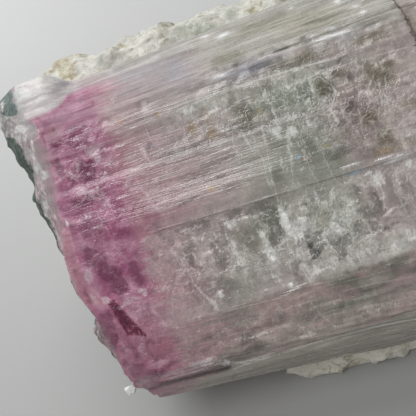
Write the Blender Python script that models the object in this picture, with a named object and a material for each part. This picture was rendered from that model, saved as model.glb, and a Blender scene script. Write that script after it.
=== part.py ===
"""Watermelon tourmaline: a stout striated prism with a green-skinned tip, seated in a lump of cream feldspar.

World frame: metres, +Z up, origin at the centre of the footprint on the resting plane.
The crystal's c-axis lies along X, its natural tip towards -X and its broken root towards +X.
"""
import math

import bmesh
import bpy
import numpy as np

# ------------------------------------------------------------------ driving dimensions, millimetres
ROOT_X = 33.5          # mean position of the broken root
FRONT_LEAN = 43.0      # elevation of the broad front face's normal, degrees
# Corners of the blunt three-sided section, as (along the front face, depth behind it)
CORNERS = [(13.9, 0.0), (18.6, 6.6), (2.4, 33.0), (-5.9, 33.0), (-22.0, 6.5), (-17.3, 0.0)]
BULGE = [0.55, 0.9, 0.45, 0.9, 0.45, 0.45]   # how far each side bows out, from each corner to the next
CENTRE = (-1.7, 13.5)  # section point that the rings shrink towards
CORNER_SMOOTH = 0.7    # rounding of the corners
TAPER = 0.0026         # growth of the section per millimetre towards the root
BASE_Z = -29.8         # resting plane, below the middle of the front face
SHIFT = (7.430, 10.092)  # puts the origin at the middle of the footprint
CLEARANCE = 0.35       # gap that the matrix keeps round the crystal
MM = 0.001

AROUND = 66            # facets round the prism
ROWS = (0.015, 0.04, 0.075, 0.12, 0.18, 0.25, 0.33, 0.41, 0.49, 0.57, 0.65, 0.72, 0.78, 0.83, 0.86, 0.885, 0.93, 0.975)
CAP_RINGS = (0.97, 0.91, 0.82, 0.70, 0.57, 0.43, 0.29, 0.15)


# ------------------------------------------------------------------ noise and small helpers
def hashed(ix, iy, iz, seed):
    h = np.sin(ix * 127.1 + iy * 311.7 + iz * 74.7 + seed * 53.3) * 43758.5453
    return (h - np.floor(h)) * 2 - 1


def value_noise(x, y, z, seed=0):
    """Smooth noise from -1 to 1 on a unit lattice."""
    x, y, z = np.broadcast_arrays(*(np.asarray(v, float) for v in (x, y, z)))
    ix, iy, iz = np.floor(x), np.floor(y), np.floor(z)
    fx, fy, fz = x - ix, y - iy, z - iz
    ux, uy, uz = (f * f * (3 - 2 * f) for f in (fx, fy, fz))
    total = 0
    for dx in (0, 1):
        for dy in (0, 1):
            for dz in (0, 1):
                w = (ux if dx else 1 - ux) * (uy if dy else 1 - uy) * (uz if dz else 1 - uz)
                total = total + w * hashed(ix + dx, iy + dy, iz + dz, seed)
    return total


def fbm(x, y, z, octaves=3, seed=0):
    total, size, amount = 0, 1.0, 0.5
    for k in range(octaves):
        total = total + amount * value_noise(x * size, y * size, z * size, seed + 17 * k)
        size, amount = size * 2.03, amount * 0.5
    return total


def ramp(x, low, high):
    u = np.clip((x - low) / (high - low), 0, 1)
    return u * u * (3 - 2 * u)


def hump(x, middle, width):
    return np.exp(-(((x - middle) / width) ** 2))


# ------------------------------------------------------------------ the prism's section
def section_table(corners, bulge, smooth, samples=1440):
    """Points and outward normals round a closed section, evenly spaced by length."""
    points = []
    for k, start in enumerate(corners):
        a, b = np.array(start), np.array(corners[(k + 1) % len(corners)])
        run = b - a
        out = np.array([run[1], -run[0]]) / np.hypot(*run)
        n = max(8, int(np.hypot(*run) * 12))
        u = np.arange(n)[:, None] / n
        points.append(a + u * run + out * bulge[k] * 4 * u * (1 - u))
    pts = np.concatenate(points)
    step = np.hypot(*(np.roll(pts, -1, 0) - pts).T).mean()
    half = int(3 * smooth / step)
    kernel = np.exp(-0.5 * (np.arange(-half, half + 1) * step / smooth) ** 2)
    kernel /= kernel.sum()
    rolled = sum(w * np.roll(pts, -j, 0) for j, w in zip(range(-half, half + 1), kernel))
    length = np.concatenate([[0], np.cumsum(np.hypot(*(np.roll(rolled, -1, 0) - rolled).T))])
    closed = np.vstack([rolled, rolled[:1]])
    t = np.linspace(0, length[-1], samples, endpoint=False)
    even = np.stack([np.interp(t, length, closed[:, i]) for i in (0, 1)], 1)
    tangent = np.roll(even, -1, 0) - np.roll(even, 1, 0)
    normal = np.stack([tangent[:, 1], -tangent[:, 0]], 1)
    normal /= np.hypot(*normal.T)[:, None]
    if np.mean(np.sum(normal * (even - even.mean(0)), 1)) < 0:
        normal = -normal
    return even, normal


def on_section(table, share):
    """Point and normal at a share, 0 to 1, of the way round."""
    pts, nor = table
    k = np.mod(share, 1.0) * len(pts)
    i = np.floor(k).astype(int) % len(pts)
    j, f = (i + 1) % len(pts), (k - np.floor(k))[:, None]
    return pts[i] * (1 - f) + pts[j] * f, nor[i] * (1 - f) + nor[j] * f


# ------------------------------------------------------------------ the crystal's own relief
def strip_level(p, q):
    """The front face is made of parallel strips that stand at slightly different levels."""
    level = (
        -0.22 * ramp(p, 10.9, 10.2) + 0.34 * ramp(p, 6.9, 6.3) - 0.44 * ramp(p, -0.7, -1.1)
        + 0.34 * ramp(p, -11.0, -11.8) - 0.26 * ramp(p, -14.3, -15.0)
    )
    return level * ramp(q, 4.0, 1.0)


def tip_line(p):
    """Where the tip's rim lies, by height on the section."""
    return np.interp(p, [-21, -16.6, -14.6, -11.3, -8.4, -4.8, -1.4, 2.3, 4.8, 9.4, 13.6, 18],
                     [-13.8, -14.0, -13.8, -14.8, -15.1, -15.6, -15.3, -15.5, -16.1, -15.1, -15.1, -16.2])


def tip_swell(p):
    return np.interp(p, [-21, -13.4, -8.4, -1.4, 2.2, 4.8, 9.1, 13.6, 18], [0.9, 1.1, 1.1, 1.2, 1.9, 2.4, 3.1, 4.6, 4.9])


def tip_x(p, q, depth):
    """The tip's surface: bevelled at its rim and lumpy inside it. depth is how far in from the rim."""
    lumps = 0.9 * fbm(p / 6.0, q / 6.0, 3.1, 2, 11) + 0.9 * ramp(value_noise(p / 5.2, q / 5.2, 1.7, 23), -0.1, 0.5)
    return tip_line(p) - (1 - np.exp(-depth / 1.3)) * (tip_swell(p) * ramp(q, 34, 12) + lumps + 0.4)


def root_x(p, q):
    """The broken root, an uneven fracture in broad steps."""
    steps = 2.6 * ramp(value_noise(p / 9.0, q / 9.0, 9.2, 31), -0.35, 0.35) + 1.0 * value_noise(p / 5.5, q / 5.5, 4.4, 37)
    return ROOT_X - 1.3 + steps + 0.5 * fbm(p / 4.5, q / 4.5, 7.7, 2, 41)


def crystal_point(share, ring, along, extra=0.0):
    """Section coordinates and x, in millimetres, of a point of the crystal's skin: share round, ring 1 at the walls to 0 at the axis, along 0 at the tip to 1 at the root."""
    base, normal = on_section(CRYSTAL_TABLE, share)
    centre = np.array(CENTRE)
    depth = (1 - ring) * np.hypot(*(base - centre).T)
    inner = centre + (base - centre) * ring[:, None]
    p, q = inner.T
    x0 = tip_x(p, q, depth) - extra
    x1 = root_x(p, q) + extra
    x = x0 + (x1 - x0) * along
    grow = 1 + TAPER * (x - 4.0)
    flare = 2.0 * hump(base[:, 0], 18.3, 4.0) * hump(base[:, 1], 7.5, 6.0) * ramp(x, -10.8, -14.6)
    # slow swells of the faces, a little different from end to end, and the strips
    swell = 0.30 * value_noise(share * 23, x / 17.0, 0.3, 5) + 0.15 * value_noise(share * 47, x / 30.0, 2.3, 8)
    level = strip_level(*base.T)
    short_step = 0.9 * ramp(x, 26.2, 27.0) * ramp(base[:, 0], 5.5, 7.5) * ramp(base[:, 1], 9.0, 6.5)
    lift = (flare + (swell + level - short_step) + extra)
    out = centre + (inner - centre) * grow[:, None] + normal * (lift * ring)[:, None]
    return out[:, 0], out[:, 1], x


def to_world(p, q, x):
    """From section coordinates to the resting position, in metres."""
    e = math.radians(FRONT_LEAN)
    y = p * math.sin(e) + q * math.cos(e)
    z = p * math.cos(e) - q * math.sin(e)
    return np.stack([(x - SHIFT[0]) * MM, (y - SHIFT[1]) * MM, (z - BASE_Z) * MM], 1)


# ------------------------------------------------------------------ the matrix
MATRIX_OUTLINE = [(-6.9, -29.8), (-8.5, -27.4), (-8.4, -24.6), (-6.0, -21.6), (1.0, -15.5), (8.0, -8.5), (13.4, -1.0),
                  (18.2, 4.4), (24.4, 6.4), (29.2, 1.0), (31.2, -8.0), (31.8, -17.5), (30.8, -25.6), (29.6, -29.8)]
MATRIX_CENTRE = (14.0, -18.5)


def matrix_point(share, ring, along):
    """World section coordinates y, z and x, in millimetres before the shift, of a point of the matrix's skin."""
    base, normal = on_section(MATRIX_TABLE, share)
    centre = np.array(MATRIX_CENTRE)
    inner = centre + (base - centre) * ring[:, None]
    y, z = inner.T
    depth = (1 - ring) * np.hypot(*(base - centre).T)
    left = -17.0 + 0.75 * np.clip(22 - y, 0, 40) - 1.6 * (1 - np.exp(-depth / 2.5)) + 1.5 * fbm(y / 6, z / 6, 1.1, 3, 61)
    right = 29.6 - 0.10 * np.clip(y - 10, -20, 20) + 1.8 * (1 - np.exp(-depth / 3.0)) + 1.6 * fbm(y / 7, z / 7, 5.1, 3, 67) - 3.0 * ramp(z, -6, 4)
    x = left + (right - left) * along
    ends = np.minimum(x - left, right - x)
    swell = 1.5 * fbm(y / 8, z / 8, x / 9, 3, 71) + 0.9 * ramp(value_noise(y / 4.2, z / 4.2, x / 5.0, 73), 0.0, 0.2) - 1.4 * np.exp(-ends / 1.6)
    grow = 1.0 * ramp(x, -9, 12) - 0.9
    lift = swell + grow * ramp(z, -12, 0)
    lift = lift * ramp(z, BASE_Z, BASE_Z + 3.0)
    out = inner + normal * (lift * ring)[:, None]
    out[:, 1] = np.maximum(out[:, 1], BASE_Z)
    return out[:, 0], out[:, 1], x


# ------------------------------------------------------------------ building meshes
def ringed_cylinder(name, around, rows, rings):
    """A unit cylinder along Z whose wall is cut into rows and whose caps are inset into rings."""
    bm = bmesh.new()
    bmesh.ops.create_cone(bm, cap_ends=True, cap_tris=False, segments=around, radius1=1, radius2=1, depth=1)
    for row in rows:
        whole = bm.verts[:] + bm.edges[:] + bm.faces[:]
        bmesh.ops.bisect_plane(bm, geom=whole, plane_co=(0, 0, row - 0.5), plane_no=(0, 0, 1))
    for z in (-0.5, 0.5):
        cap = next(f for f in bm.faces if len(f.verts) == around and abs(f.calc_center_median().z - z) < 1e-4)
        before = 1.0
        for ring in rings:
            bmesh.ops.inset_individual(bm, faces=[cap], thickness=(before - ring) * math.cos(math.pi / around))
            before = ring
        bmesh.ops.poke(bm, faces=[cap])
    bmesh.ops.recalc_face_normals(bm, faces=bm.faces)
    mesh = bpy.data.meshes.new(name)
    bm.to_mesh(mesh)
    bm.free()
    return mesh


def unit_coordinates(mesh):
    co = np.empty(len(mesh.vertices) * 3, np.float32)
    mesh.vertices.foreach_get("co", co)
    co = co.reshape(-1, 3).astype(float)
    share = np.mod(np.arctan2(co[:, 1], co[:, 0]) / (2 * math.pi), 1.0)
    return share, np.clip(np.hypot(co[:, 0], co[:, 1]), 0, 1), co[:, 2] + 0.5


def set_points(mesh, points):
    mesh.vertices.foreach_set("co", np.asarray(points, np.float32).ravel())
    mesh.update()
    bm = bmesh.new()
    bm.from_mesh(mesh)
    bmesh.ops.triangulate(bm, faces=bm.faces)
    bmesh.ops.recalc_face_normals(bm, faces=bm.faces)
    bm.to_mesh(mesh)
    bm.free()


def material(name, colour, roughness):
    mat = bpy.data.materials.new(name)
    mat.use_nodes = True
    shader = mat.node_tree.nodes["Principled BSDF"]
    shader.inputs["Base Color"].default_value = (*colour, 1)
    shader.inputs["Roughness"].default_value = roughness
    shader.inputs["Metallic"].default_value = 0.0
    return mat


def add_object(name, mesh, collection, mat=None):
    obj = bpy.data.objects.new(name, mesh)
    collection.objects.link(obj)
    if mat is not None:
        mesh.materials.append(mat)
    return obj


CRYSTAL_TABLE = section_table(CORNERS, BULGE, CORNER_SMOOTH)
MATRIX_TABLE = section_table(MATRIX_OUTLINE, [0.0] * len(MATRIX_OUTLINE), 0.6)


def main():
    for obj in list(bpy.data.objects):
        bpy.data.objects.remove(obj, do_unlink=True)
    parts = bpy.data.collections.new("watermelon_tourmaline")
    cutters = bpy.data.collections.new("cutters")
    bpy.context.scene.collection.children.link(parts)
    bpy.context.scene.collection.children.link(cutters)

    tourmaline = material("tourmaline", (0.62, 0.56, 0.52), 0.18)
    feldspar = material("feldspar", (0.74, 0.71, 0.60), 0.7)
    quartz = material("feldspar_grain", (0.86, 0.86, 0.84), 0.5)

    # the crystal
    mesh = ringed_cylinder("tourmaline_crystal", AROUND, ROWS, CAP_RINGS)
    set_points(mesh, to_world(*crystal_point(*unit_coordinates(mesh))))
    mesh.shade_smooth()
    mesh.set_sharp_from_angle(angle=math.radians(28))
    add_object("tourmaline_crystal", mesh, parts, tourmaline)

    # the room the crystal needs in the matrix: the same shape, standing off by the clearance
    mesh = ringed_cylinder("crystal_room", AROUND, ROWS, CAP_RINGS)
    set_points(mesh, to_world(*crystal_point(*unit_coordinates(mesh), extra=CLEARANCE)))
    room = add_object("crystal_room", mesh, cutters)
    room.hide_render = True
    room.display_type = "WIRE"

    # the matrix, trimmed flat below, with the crystal's seat cut into it
    mesh = ringed_cylinder("feldspar_matrix", 40, [k / 15 for k in range(1, 15)], (0.9, 0.66, 0.33))
    y, z, x = matrix_point(*unit_coordinates(mesh))
    set_points(mesh, np.stack([(x - SHIFT[0]) * MM, (y - SHIFT[1]) * MM, (z - BASE_Z) * MM], 1))
    matrix = add_object("feldspar_matrix", mesh, parts, feldspar)
    seat = matrix.modifiers.new("seat", "BOOLEAN")
    seat.operation = "DIFFERENCE"
    seat.object = room
    seat.solver = "EXACT"

    # a loose-looking white grain stuck on the tip's lower corner
    bm = bmesh.new()
    bmesh.ops.create_icosphere(bm, subdivisions=2, radius=1.0)
    mesh = bpy.data.meshes.new("feldspar_grain")
    bm.to_mesh(mesh)
    bm.free()
    co = np.empty(len(mesh.vertices) * 3, np.float32)
    mesh.vertices.foreach_get("co", co)
    co = co.reshape(-1, 3).astype(float)
    size = 1 + 0.3 * value_noise(*(co * 1.3).T, 91)
    co = co * size[:, None] * np.array([0.78, 0.72, 0.84])
    where = to_world(np.array([-17.8]), np.array([1.6]), np.array([-15.02]))[0]
    set_points(mesh, co * MM + where)
    mesh.shade_smooth()
    add_object("feldspar_grain", mesh, parts, quartz)


main()
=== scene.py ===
"""Looks of a watermelon tourmaline on feldspar: its striated skin, its colour zones, the healed cracks sealed in it and the pale table that it lies on."""
import math

import bmesh
import bpy
import numpy as np
from mathutils import Matrix, Vector, geometry
from mathutils.bvhtree import BVHTree


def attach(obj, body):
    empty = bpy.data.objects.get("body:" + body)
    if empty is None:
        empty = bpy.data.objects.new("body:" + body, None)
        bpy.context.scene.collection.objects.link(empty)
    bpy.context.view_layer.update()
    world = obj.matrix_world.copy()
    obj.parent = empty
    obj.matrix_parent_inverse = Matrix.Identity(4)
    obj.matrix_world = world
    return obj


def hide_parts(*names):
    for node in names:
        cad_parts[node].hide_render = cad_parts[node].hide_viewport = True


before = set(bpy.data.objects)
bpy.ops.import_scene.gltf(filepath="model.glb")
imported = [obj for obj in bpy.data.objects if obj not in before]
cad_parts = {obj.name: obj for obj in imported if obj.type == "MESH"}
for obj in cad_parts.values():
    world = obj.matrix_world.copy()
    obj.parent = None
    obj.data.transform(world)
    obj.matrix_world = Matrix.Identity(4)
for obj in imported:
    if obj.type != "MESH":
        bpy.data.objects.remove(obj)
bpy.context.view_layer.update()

# ------------------------------------------------------------------ the shape that the CAD has, in millimetres
ROOT_X = 33.5
FRONT_LEAN = 43.0
CORNERS = [(13.9, 0.0), (18.6, 6.6), (2.4, 33.0), (-5.9, 33.0), (-22.0, 6.5), (-17.3, 0.0)]
BULGE = [0.55, 0.9, 0.45, 0.9, 0.45, 0.45]
CENTRE = (-1.7, 13.5)
CORNER_SMOOTH = 0.38
TAPER = 0.0026
BASE_Z = -29.8
SHIFT = (7.430, 10.092)
MM = 0.001
AROUND, ALONG = 384, 216


# the camera: its height angle, its turn to the right, its roll, its distance, and its three axes
TILT, TURN, ROLL, AWAY = math.radians(50.0), math.radians(6.0), math.radians(17.0), 127.0
ACROSS = np.array([0, math.sin(TILT), math.cos(TILT)])
TOWARDS = np.array([0, -math.cos(TILT), math.sin(TILT)]) * math.cos(TURN) + np.array([math.sin(TURN), 0, 0])
ALONG_AXIS = np.array([math.cos(TURN), 0, 0]) - np.array([0, -math.cos(TILT), math.sin(TILT)]) * math.sin(TURN)
STEP = 0.11      # features are placed along and across the axis in steps of this many millimetres


# ------------------------------------------------------------------ noise and small helpers
def hashed(ix, iy, iz, seed):
    h = np.sin(ix * 127.1 + iy * 311.7 + iz * 74.7 + seed * 53.3) * 43758.5453
    return (h - np.floor(h)) * 2 - 1


def value_noise(x, y, z, seed=0):
    """Smooth noise from -1 to 1 on a unit lattice."""
    x, y, z = np.broadcast_arrays(*(np.asarray(v, float) for v in (x, y, z)))
    ix, iy, iz = np.floor(x), np.floor(y), np.floor(z)
    fx, fy, fz = x - ix, y - iy, z - iz
    ux, uy, uz = (f * f * (3 - 2 * f) for f in (fx, fy, fz))
    total = 0
    for dx in (0, 1):
        for dy in (0, 1):
            for dz in (0, 1):
                w = (ux if dx else 1 - ux) * (uy if dy else 1 - uy) * (uz if dz else 1 - uz)
                total = total + w * hashed(ix + dx, iy + dy, iz + dz, seed)
    return total


def fbm(x, y, z, octaves=3, seed=0):
    total, size, amount = 0, 1.0, 0.5
    for k in range(octaves):
        total = total + amount * value_noise(x * size, y * size, z * size, seed + 17 * k)
        size, amount = size * 2.03, amount * 0.5
    return total


def ramp(x, low, high):
    u = np.clip((x - low) / (high - low), 0, 1)
    return u * u * (3 - 2 * u)


def hump(x, middle, width):
    return np.exp(-(((x - middle) / width) ** 2))


def terrace(v, soft=0.16):
    """Turns a smooth value into flat steps with short risers."""
    k = np.floor(v)
    return k + ramp(v - k, 0.5 - soft / 2, 0.5 + soft / 2)


def cells(u, v, seed, jitter=0.85):
    """Voronoi cells of a plane: three random numbers of the cell, the offset from its seed, and the distances to the nearest and next seeds."""
    iu, iv = np.floor(u), np.floor(v)
    best = np.full(np.shape(u), 9.0)
    second = best.copy()
    out = [np.zeros(np.shape(u)) for _ in range(5)]
    for du in (-1, 0, 1):
        for dv in (-1, 0, 1):
            cu, cv = iu + du, iv + dv
            su = cu + 0.5 + 0.5 * jitter * hashed(cu, cv, 1.0, seed)
            sv = cv + 0.5 + 0.5 * jitter * hashed(cu, cv, 2.0, seed)
            d = np.hypot(u - su, v - sv)
            near = d < best
            second = np.where(near, best, np.minimum(second, d))
            best = np.where(near, d, best)
            fresh = (hashed(cu, cv, 3.0, seed), hashed(cu, cv, 4.0, seed), hashed(cu, cv, 5.0, seed), u - su, v - sv)
            out = [np.where(near, a, b) for a, b in zip(fresh, out)]
    return out[0], out[1], out[2], out[3], out[4], best, second


def section_table(corners, bulge, smooth, samples=4800):
    """Points and outward normals round a closed section, evenly spaced by length."""
    points = []
    for k, start in enumerate(corners):
        a, b = np.array(start), np.array(corners[(k + 1) % len(corners)])
        run = b - a
        out = np.array([run[1], -run[0]]) / np.hypot(*run)
        n = max(8, int(np.hypot(*run) * 40))
        u = np.arange(n)[:, None] / n
        points.append(a + u * run + out * bulge[k] * 4 * u * (1 - u))
    pts = np.concatenate(points)
    step = np.hypot(*(np.roll(pts, -1, 0) - pts).T).mean()
    half = int(3 * smooth / step)
    kernel = np.exp(-0.5 * (np.arange(-half, half + 1) * step / smooth) ** 2)
    kernel /= kernel.sum()
    rolled = sum(w * np.roll(pts, -j, 0) for j, w in zip(range(-half, half + 1), kernel))
    length = np.concatenate([[0], np.cumsum(np.hypot(*(np.roll(rolled, -1, 0) - rolled).T))])
    closed = np.vstack([rolled, rolled[:1]])
    t = np.linspace(0, length[-1], samples, endpoint=False)
    even = np.stack([np.interp(t, length, closed[:, i]) for i in (0, 1)], 1)
    tangent = np.roll(even, -6, 0) - np.roll(even, 6, 0)
    normal = np.stack([tangent[:, 1], -tangent[:, 0]], 1)
    normal /= np.hypot(*normal.T)[:, None]
    if np.mean(np.sum(normal * (even - even.mean(0)), 1)) < 0:
        normal = -normal
    return even, normal, length[-1]


def on_section(table, share):
    pts, nor = table[:2]
    k = np.mod(share, 1.0) * len(pts)
    i = np.floor(k).astype(int) % len(pts)
    j, f = (i + 1) % len(pts), (k - np.floor(k))[:, None]
    return pts[i] * (1 - f) + pts[j] * f, nor[i] * (1 - f) + nor[j] * f


def to_world(p, q, x):
    e = math.radians(FRONT_LEAN)
    y = p * math.sin(e) + q * math.cos(e)
    z = p * math.cos(e) - q * math.sin(e)
    return np.stack([(x - SHIFT[0]) * MM, (y - SHIFT[1]) * MM, (z - BASE_Z) * MM], 1)


def on_plane(p, q, x):
    """Steps along and across the axis at which points lie on a plane through the crystal's middle, seen from the camera's place."""
    rel = to_world(p, q, x) / MM + np.array([SHIFT[0], SHIFT[1], BASE_Z])
    scale = AWAY / (AWAY - rel @ TOWARDS) / STEP
    return (rel @ ALONG_AXIS) * scale, (rel @ ACROSS) * scale


# ------------------------------------------------------------------ the crystal's shape
def strip_level(p, q):
    level = (
        -0.16 * ramp(p, 10.9, 10.2) + 0.07 * ramp(p, 6.9, 6.3) - 0.26 * ramp(p, -0.70, -0.95)
        + 0.05 * ramp(p, -11.0, -12.4) - 0.14 * ramp(p, -14.3, -15.0)
    )
    return level * ramp(q, 4.0, 1.0)


def rim_x(p):
    """The edge where the front face ends at the tip."""
    return np.interp(p, [-22, -19.7, -18.7, -17.8, -17.0, -16.3, -14.5, -12.0, -10.0, -7.9, -5.6, -2.3, 0, 2.1, 4.2, 7.1, 10.1, 12.5, 14.0, 15.2, 16.5, 18.0, 19.3],
                     [-12.9, -13.5, -14.5, -14.35, -14.6, -14.85, -15.0, -15.25, -15.65, -16.2, -16.95, -17.15, -16.95, -16.35, -16.1, -15.7, -15.3, -15.05, -15.45, -15.9, -17.1, -17.8, -17.8])


def tip_reach(p):
    """How far the end face stands out past that edge."""
    return np.interp(p, [-22, -18.0, -15.5, -13.3, -12.5, -11.6, -10.7, -9.7, -8.9, -5.9, -2.3, -0.4, 2.1, 4.2, 6.8, 8.0, 9.1, 11.8, 13.8, 15.1, 16.5, 18.3, 20.5],
                     [0.3, 0.3, 0.5, 0.8, 1.5, 2.1, 1.9, 0.9, 0.4, 0.4, 0.4, 0.55, 1.75, 2.35, 3.55, 3.3, 3.5, 4.6, 4.9, 4.6, 3.7, 3.8, 2.7])


def tip_x(p, q, depth):
    lumps = 1.1 * fbm(p / 5.0, q / 5.0, 3.1, 2, 11) + 0.8 * ramp(value_noise(p / 5.2, q / 5.2, 1.7, 23), -0.1, 0.5) * ramp(q, 5.0, 9.0)
    small = 0.34 * fbm(p / 1.7, q / 1.7, 5.1, 3, 24) + 0.22 * ramp(value_noise(p / 1.15, q / 1.15, 2.7, 26), 0.1, 0.35)
    inner = 1 - np.exp(-depth / 1.25)
    return rim_x(p) - inner * (tip_reach(p) * ramp(q, 34, 12) + 0.7 * lumps) - small * ramp(depth, 0.25, 1.6)


def root_x(p, q):
    steps = 2.6 * ramp(value_noise(p / 9.0, q / 9.0, 9.2, 31), -0.35, 0.35) + 1.0 * value_noise(p / 5.5, q / 5.5, 4.4, 37)
    r = cells(p / 2.6, q / 2.1, 38)
    facets = 0.35 * r[0] + 0.7 * (r[3] * r[1] + r[4] * r[2])
    fine = cells(p / 0.9, q / 0.75, 39)
    return ROOT_X - 1.6 + steps + 0.5 * fbm(p / 4.5, q / 4.5, 7.7, 2, 41) + facets + 0.1 * fine[0] + 0.2 * (fine[3] * fine[1] + fine[4] * fine[2])


def wall_relief(w, x, base):
    """Height of the striations, steps, rods and broken blocks of the walls, in millimetres."""
    p, q = base.T
    front = ramp(q, 1.3, 0.4) * ramp(p, -18.2, -17.4) * ramp(p, 14.6, 13.6)
    upper = ramp(p, 12.6, 14.2) * ramp(q, 10.5, 7.0)
    lower = ramp(p, -16.6, -17.8) * ramp(q, 10.5, 7.0)
    back = np.clip(1 - front - upper - lower, 0, 1)
    wobble = 0.16 * value_noise(w / 3.1, x / 7.5, 0.2, 99) + 0.05 * value_noise(w / 1.1, x / 2.2, 0.9, 98)
    ww = w + wobble
    n1 = terrace(2.4 * value_noise(ww / 1.7, x / 42, 1.1, 101) + 0.9 * value_noise(ww / 4.1, x / 60, 1.9, 102)) / 2.4
    n2 = terrace(2.0 * value_noise(ww / 0.66, x / 15, 3.3, 103), 0.3) / 2.0
    n3 = value_noise(ww / 0.29, x / 8, 5.5, 105)
    iw = np.floor(ww / 0.83)
    ix = np.floor(x / 6.3 + 3.1 * hashed(iw, 0 * iw, 1.0, 107))
    rods = hashed(iw, ix, 2.0, 108)
    silky = np.clip(ramp(p, -1.2, -0.4) * ramp(p, 6.8, 5.8) + 0.5 * ramp(p, -10.2, -12.0), 0, 1)
    blocky = np.clip(ramp(p, -0.6, -1.4) * ramp(p, -12.2, -10.6) + 0.75 * ramp(p, 6.1, 7.2) * ramp(p, 13.6, 12.4) * ramp(x, -3.0, 4.0), 0, 1)
    blocky = blocky * front * ramp(x, -10.0, -5.0)
    pinkish = ramp(x, -4.0, -8.0) * front
    lift = n1 * (0.032 * front + 0.065 * upper + 0.20 * lower + 0.24 * back)
    lift = lift + n2 * (0.016 * front * (1 - 0.5 * blocky) + 0.05 * upper + 0.10 * lower + 0.09 * back)
    lift = lift + n3 * (0.007 * front + 0.022 * upper + 0.04 * lower)
    lift = lift + rods * (0.014 * front * (1 - silky) + 0.05 * upper + 0.06 * lower + 0.06 * back)
    lift = lift * (1 - 0.75 * pinkish)
    # broken blocks: cells a little wider across the axis, each at its own level and tilt
    r = cells((x + 0.22 * ww) / 1.75, (ww + 0.10 * x) / 1.5, 111)
    lift = lift + blocky * (-0.07 * (r[0] + 0.6) + 0.07 * (r[3] * r[1] + r[4] * r[2]))
    f = cells((x - 0.3 * ww) / 0.8, (ww + 0.15 * x) / 0.6, 112)
    lift = lift + (0.6 * blocky + 0.35 * pinkish) * (0.02 * f[0] + 0.04 * (f[3] * f[1] + f[4] * f[2]))
    g = cells(x / 1.9, ww / 1.35, 113)
    lift = lift + pinkish * (-0.02 * (g[0] + 0.3) + 0.035 * (g[3] * g[1] + g[4] * g[2]))
    # chips along the two long edges of the front face
    chip = ramp(value_noise(x / 1.6, w / 2.0, 4.0, 114), 0.25, 0.7)
    lift = lift - 0.20 * chip * (hump(p, 13.7, 0.9) + hump(p, -17.0, 0.9)) * ramp(q, 2.4, 0.8)
    return lift, front, upper, lower, blocky


TABLE = section_table(CORNERS, BULGE, CORNER_SMOOTH)
PERIMETER = TABLE[2]


def wall(share, along):
    """Section coordinates, x and facts of wall points."""
    base, normal = on_section(TABLE, share)
    centre = np.array(CENTRE)
    w = share * PERIMETER
    edge = 0.22 * value_noise(w / 0.7, 0.3, 0.8, 51) + 0.16 * value_noise(w / 0.27, 0.3, 0.8, 52)
    x0 = rim_x(base[:, 0]) + edge
    x1 = root_x(*base.T) + 0.3 * value_noise(w / 0.5, 0.7, 0.2, 53)
    x = x0 + (x1 - x0) * along
    grow = 1 + TAPER * (x - 4.0)
    flare = 2.0 * hump(base[:, 0], 18.3, 4.0) * hump(base[:, 1], 7.5, 6.0) * ramp(x, -10.8, -14.6)
    share0 = share
    swell = 0.22 * value_noise(share0 * 23, x / 17.0, 0.3, 5) + 0.10 * value_noise(share0 * 47, x / 30.0, 2.3, 8)
    short = 0.9 * ramp(x + 0.25 * (base[:, 0] - 10) + 0.3 * value_noise(w / 0.9, 0.0, 0.0, 54), 26.6, 26.9) * ramp(base[:, 0], 5.8, 6.2) * ramp(base[:, 1], 9.0, 6.5)
    relief, front, upper, lower, blocky = wall_relief(w, x, base)
    lift = flare + swell + strip_level(*base.T) - short + relief
    lift = lift + 0.22 * ramp(base[:, 0], -0.70, -0.95) * ramp(base[:, 1], 4.0, 1.0) * ramp(x, -4.5, -8.5)
    out = centre + (base - centre) * grow[:, None] + normal * lift[:, None]
    return out[:, 0], out[:, 1], x, w, front, upper, lower, blocky


def skin_depth(p, q, outline):
    """Distance from each point to the nearest outline vertex."""
    best = np.full(len(p), 99.0)
    for k in range(0, len(outline), 64):
        part = outline[k:k + 64]
        d = np.hypot(p[:, None] - part[None, :, 0], q[:, None] - part[None, :, 1]).min(1)
        best = np.minimum(best, d)
    return best


def signed_side(pts, outline):
    """True for points inside a closed outline."""
    inside = np.zeros(len(pts), bool)
    a, b = outline, np.roll(outline, -1, 0)
    for (ax, ay), (bx, by) in zip(a, b):
        crosses = (ay > pts[:, 1]) != (by > pts[:, 1])
        at = ax + (pts[:, 1] - ay) * (bx - ax) / ((by - ay) if abs(by - ay) > 1e-12 else 1e-12)
        inside ^= crosses & (pts[:, 0] < at)
    return inside


def cap(outline, spacing, seed):
    """Points inside an outline on a jittered lattice, and triangles over outline and points together."""
    lo, hi = outline.min(0), outline.max(0)
    rows = np.arange(lo[1], hi[1], spacing * 0.87)
    pts = []
    for k, y in enumerate(rows):
        xs = np.arange(lo[0] + (k % 2) * spacing / 2, hi[0], spacing)
        pts.append(np.stack([xs, np.full(len(xs), y)], 1))
    pts = np.concatenate(pts)
    i = np.arange(len(pts))
    pts = pts + 0.22 * spacing * np.stack([hashed(i, 0 * i, 0 * i, seed), hashed(i, 1 + 0 * i, 0 * i, seed)], 1)
    pts = pts[signed_side(pts, outline)]
    depth = skin_depth(pts[:, 0], pts[:, 1], outline)
    keep = depth > 0.55 * spacing
    pts, depth = pts[keep], depth[keep]
    n = len(outline)
    both = [Vector(v) for v in np.concatenate([outline, pts]).tolist()]
    verts, _, faces, origin, _, _ = geometry.delaunay_2d_cdt(both, [(k, (k + 1) % n) for k in range(n)], [], 1, 1e-7)
    back = [o[0] if len(o) else -1 for o in origin]
    tris = [tuple(back[v] for v in f) for f in faces]
    tris = [f for f in tris if min(f) >= 0 and len(set(f)) == 3]
    return pts, depth, tris


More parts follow.
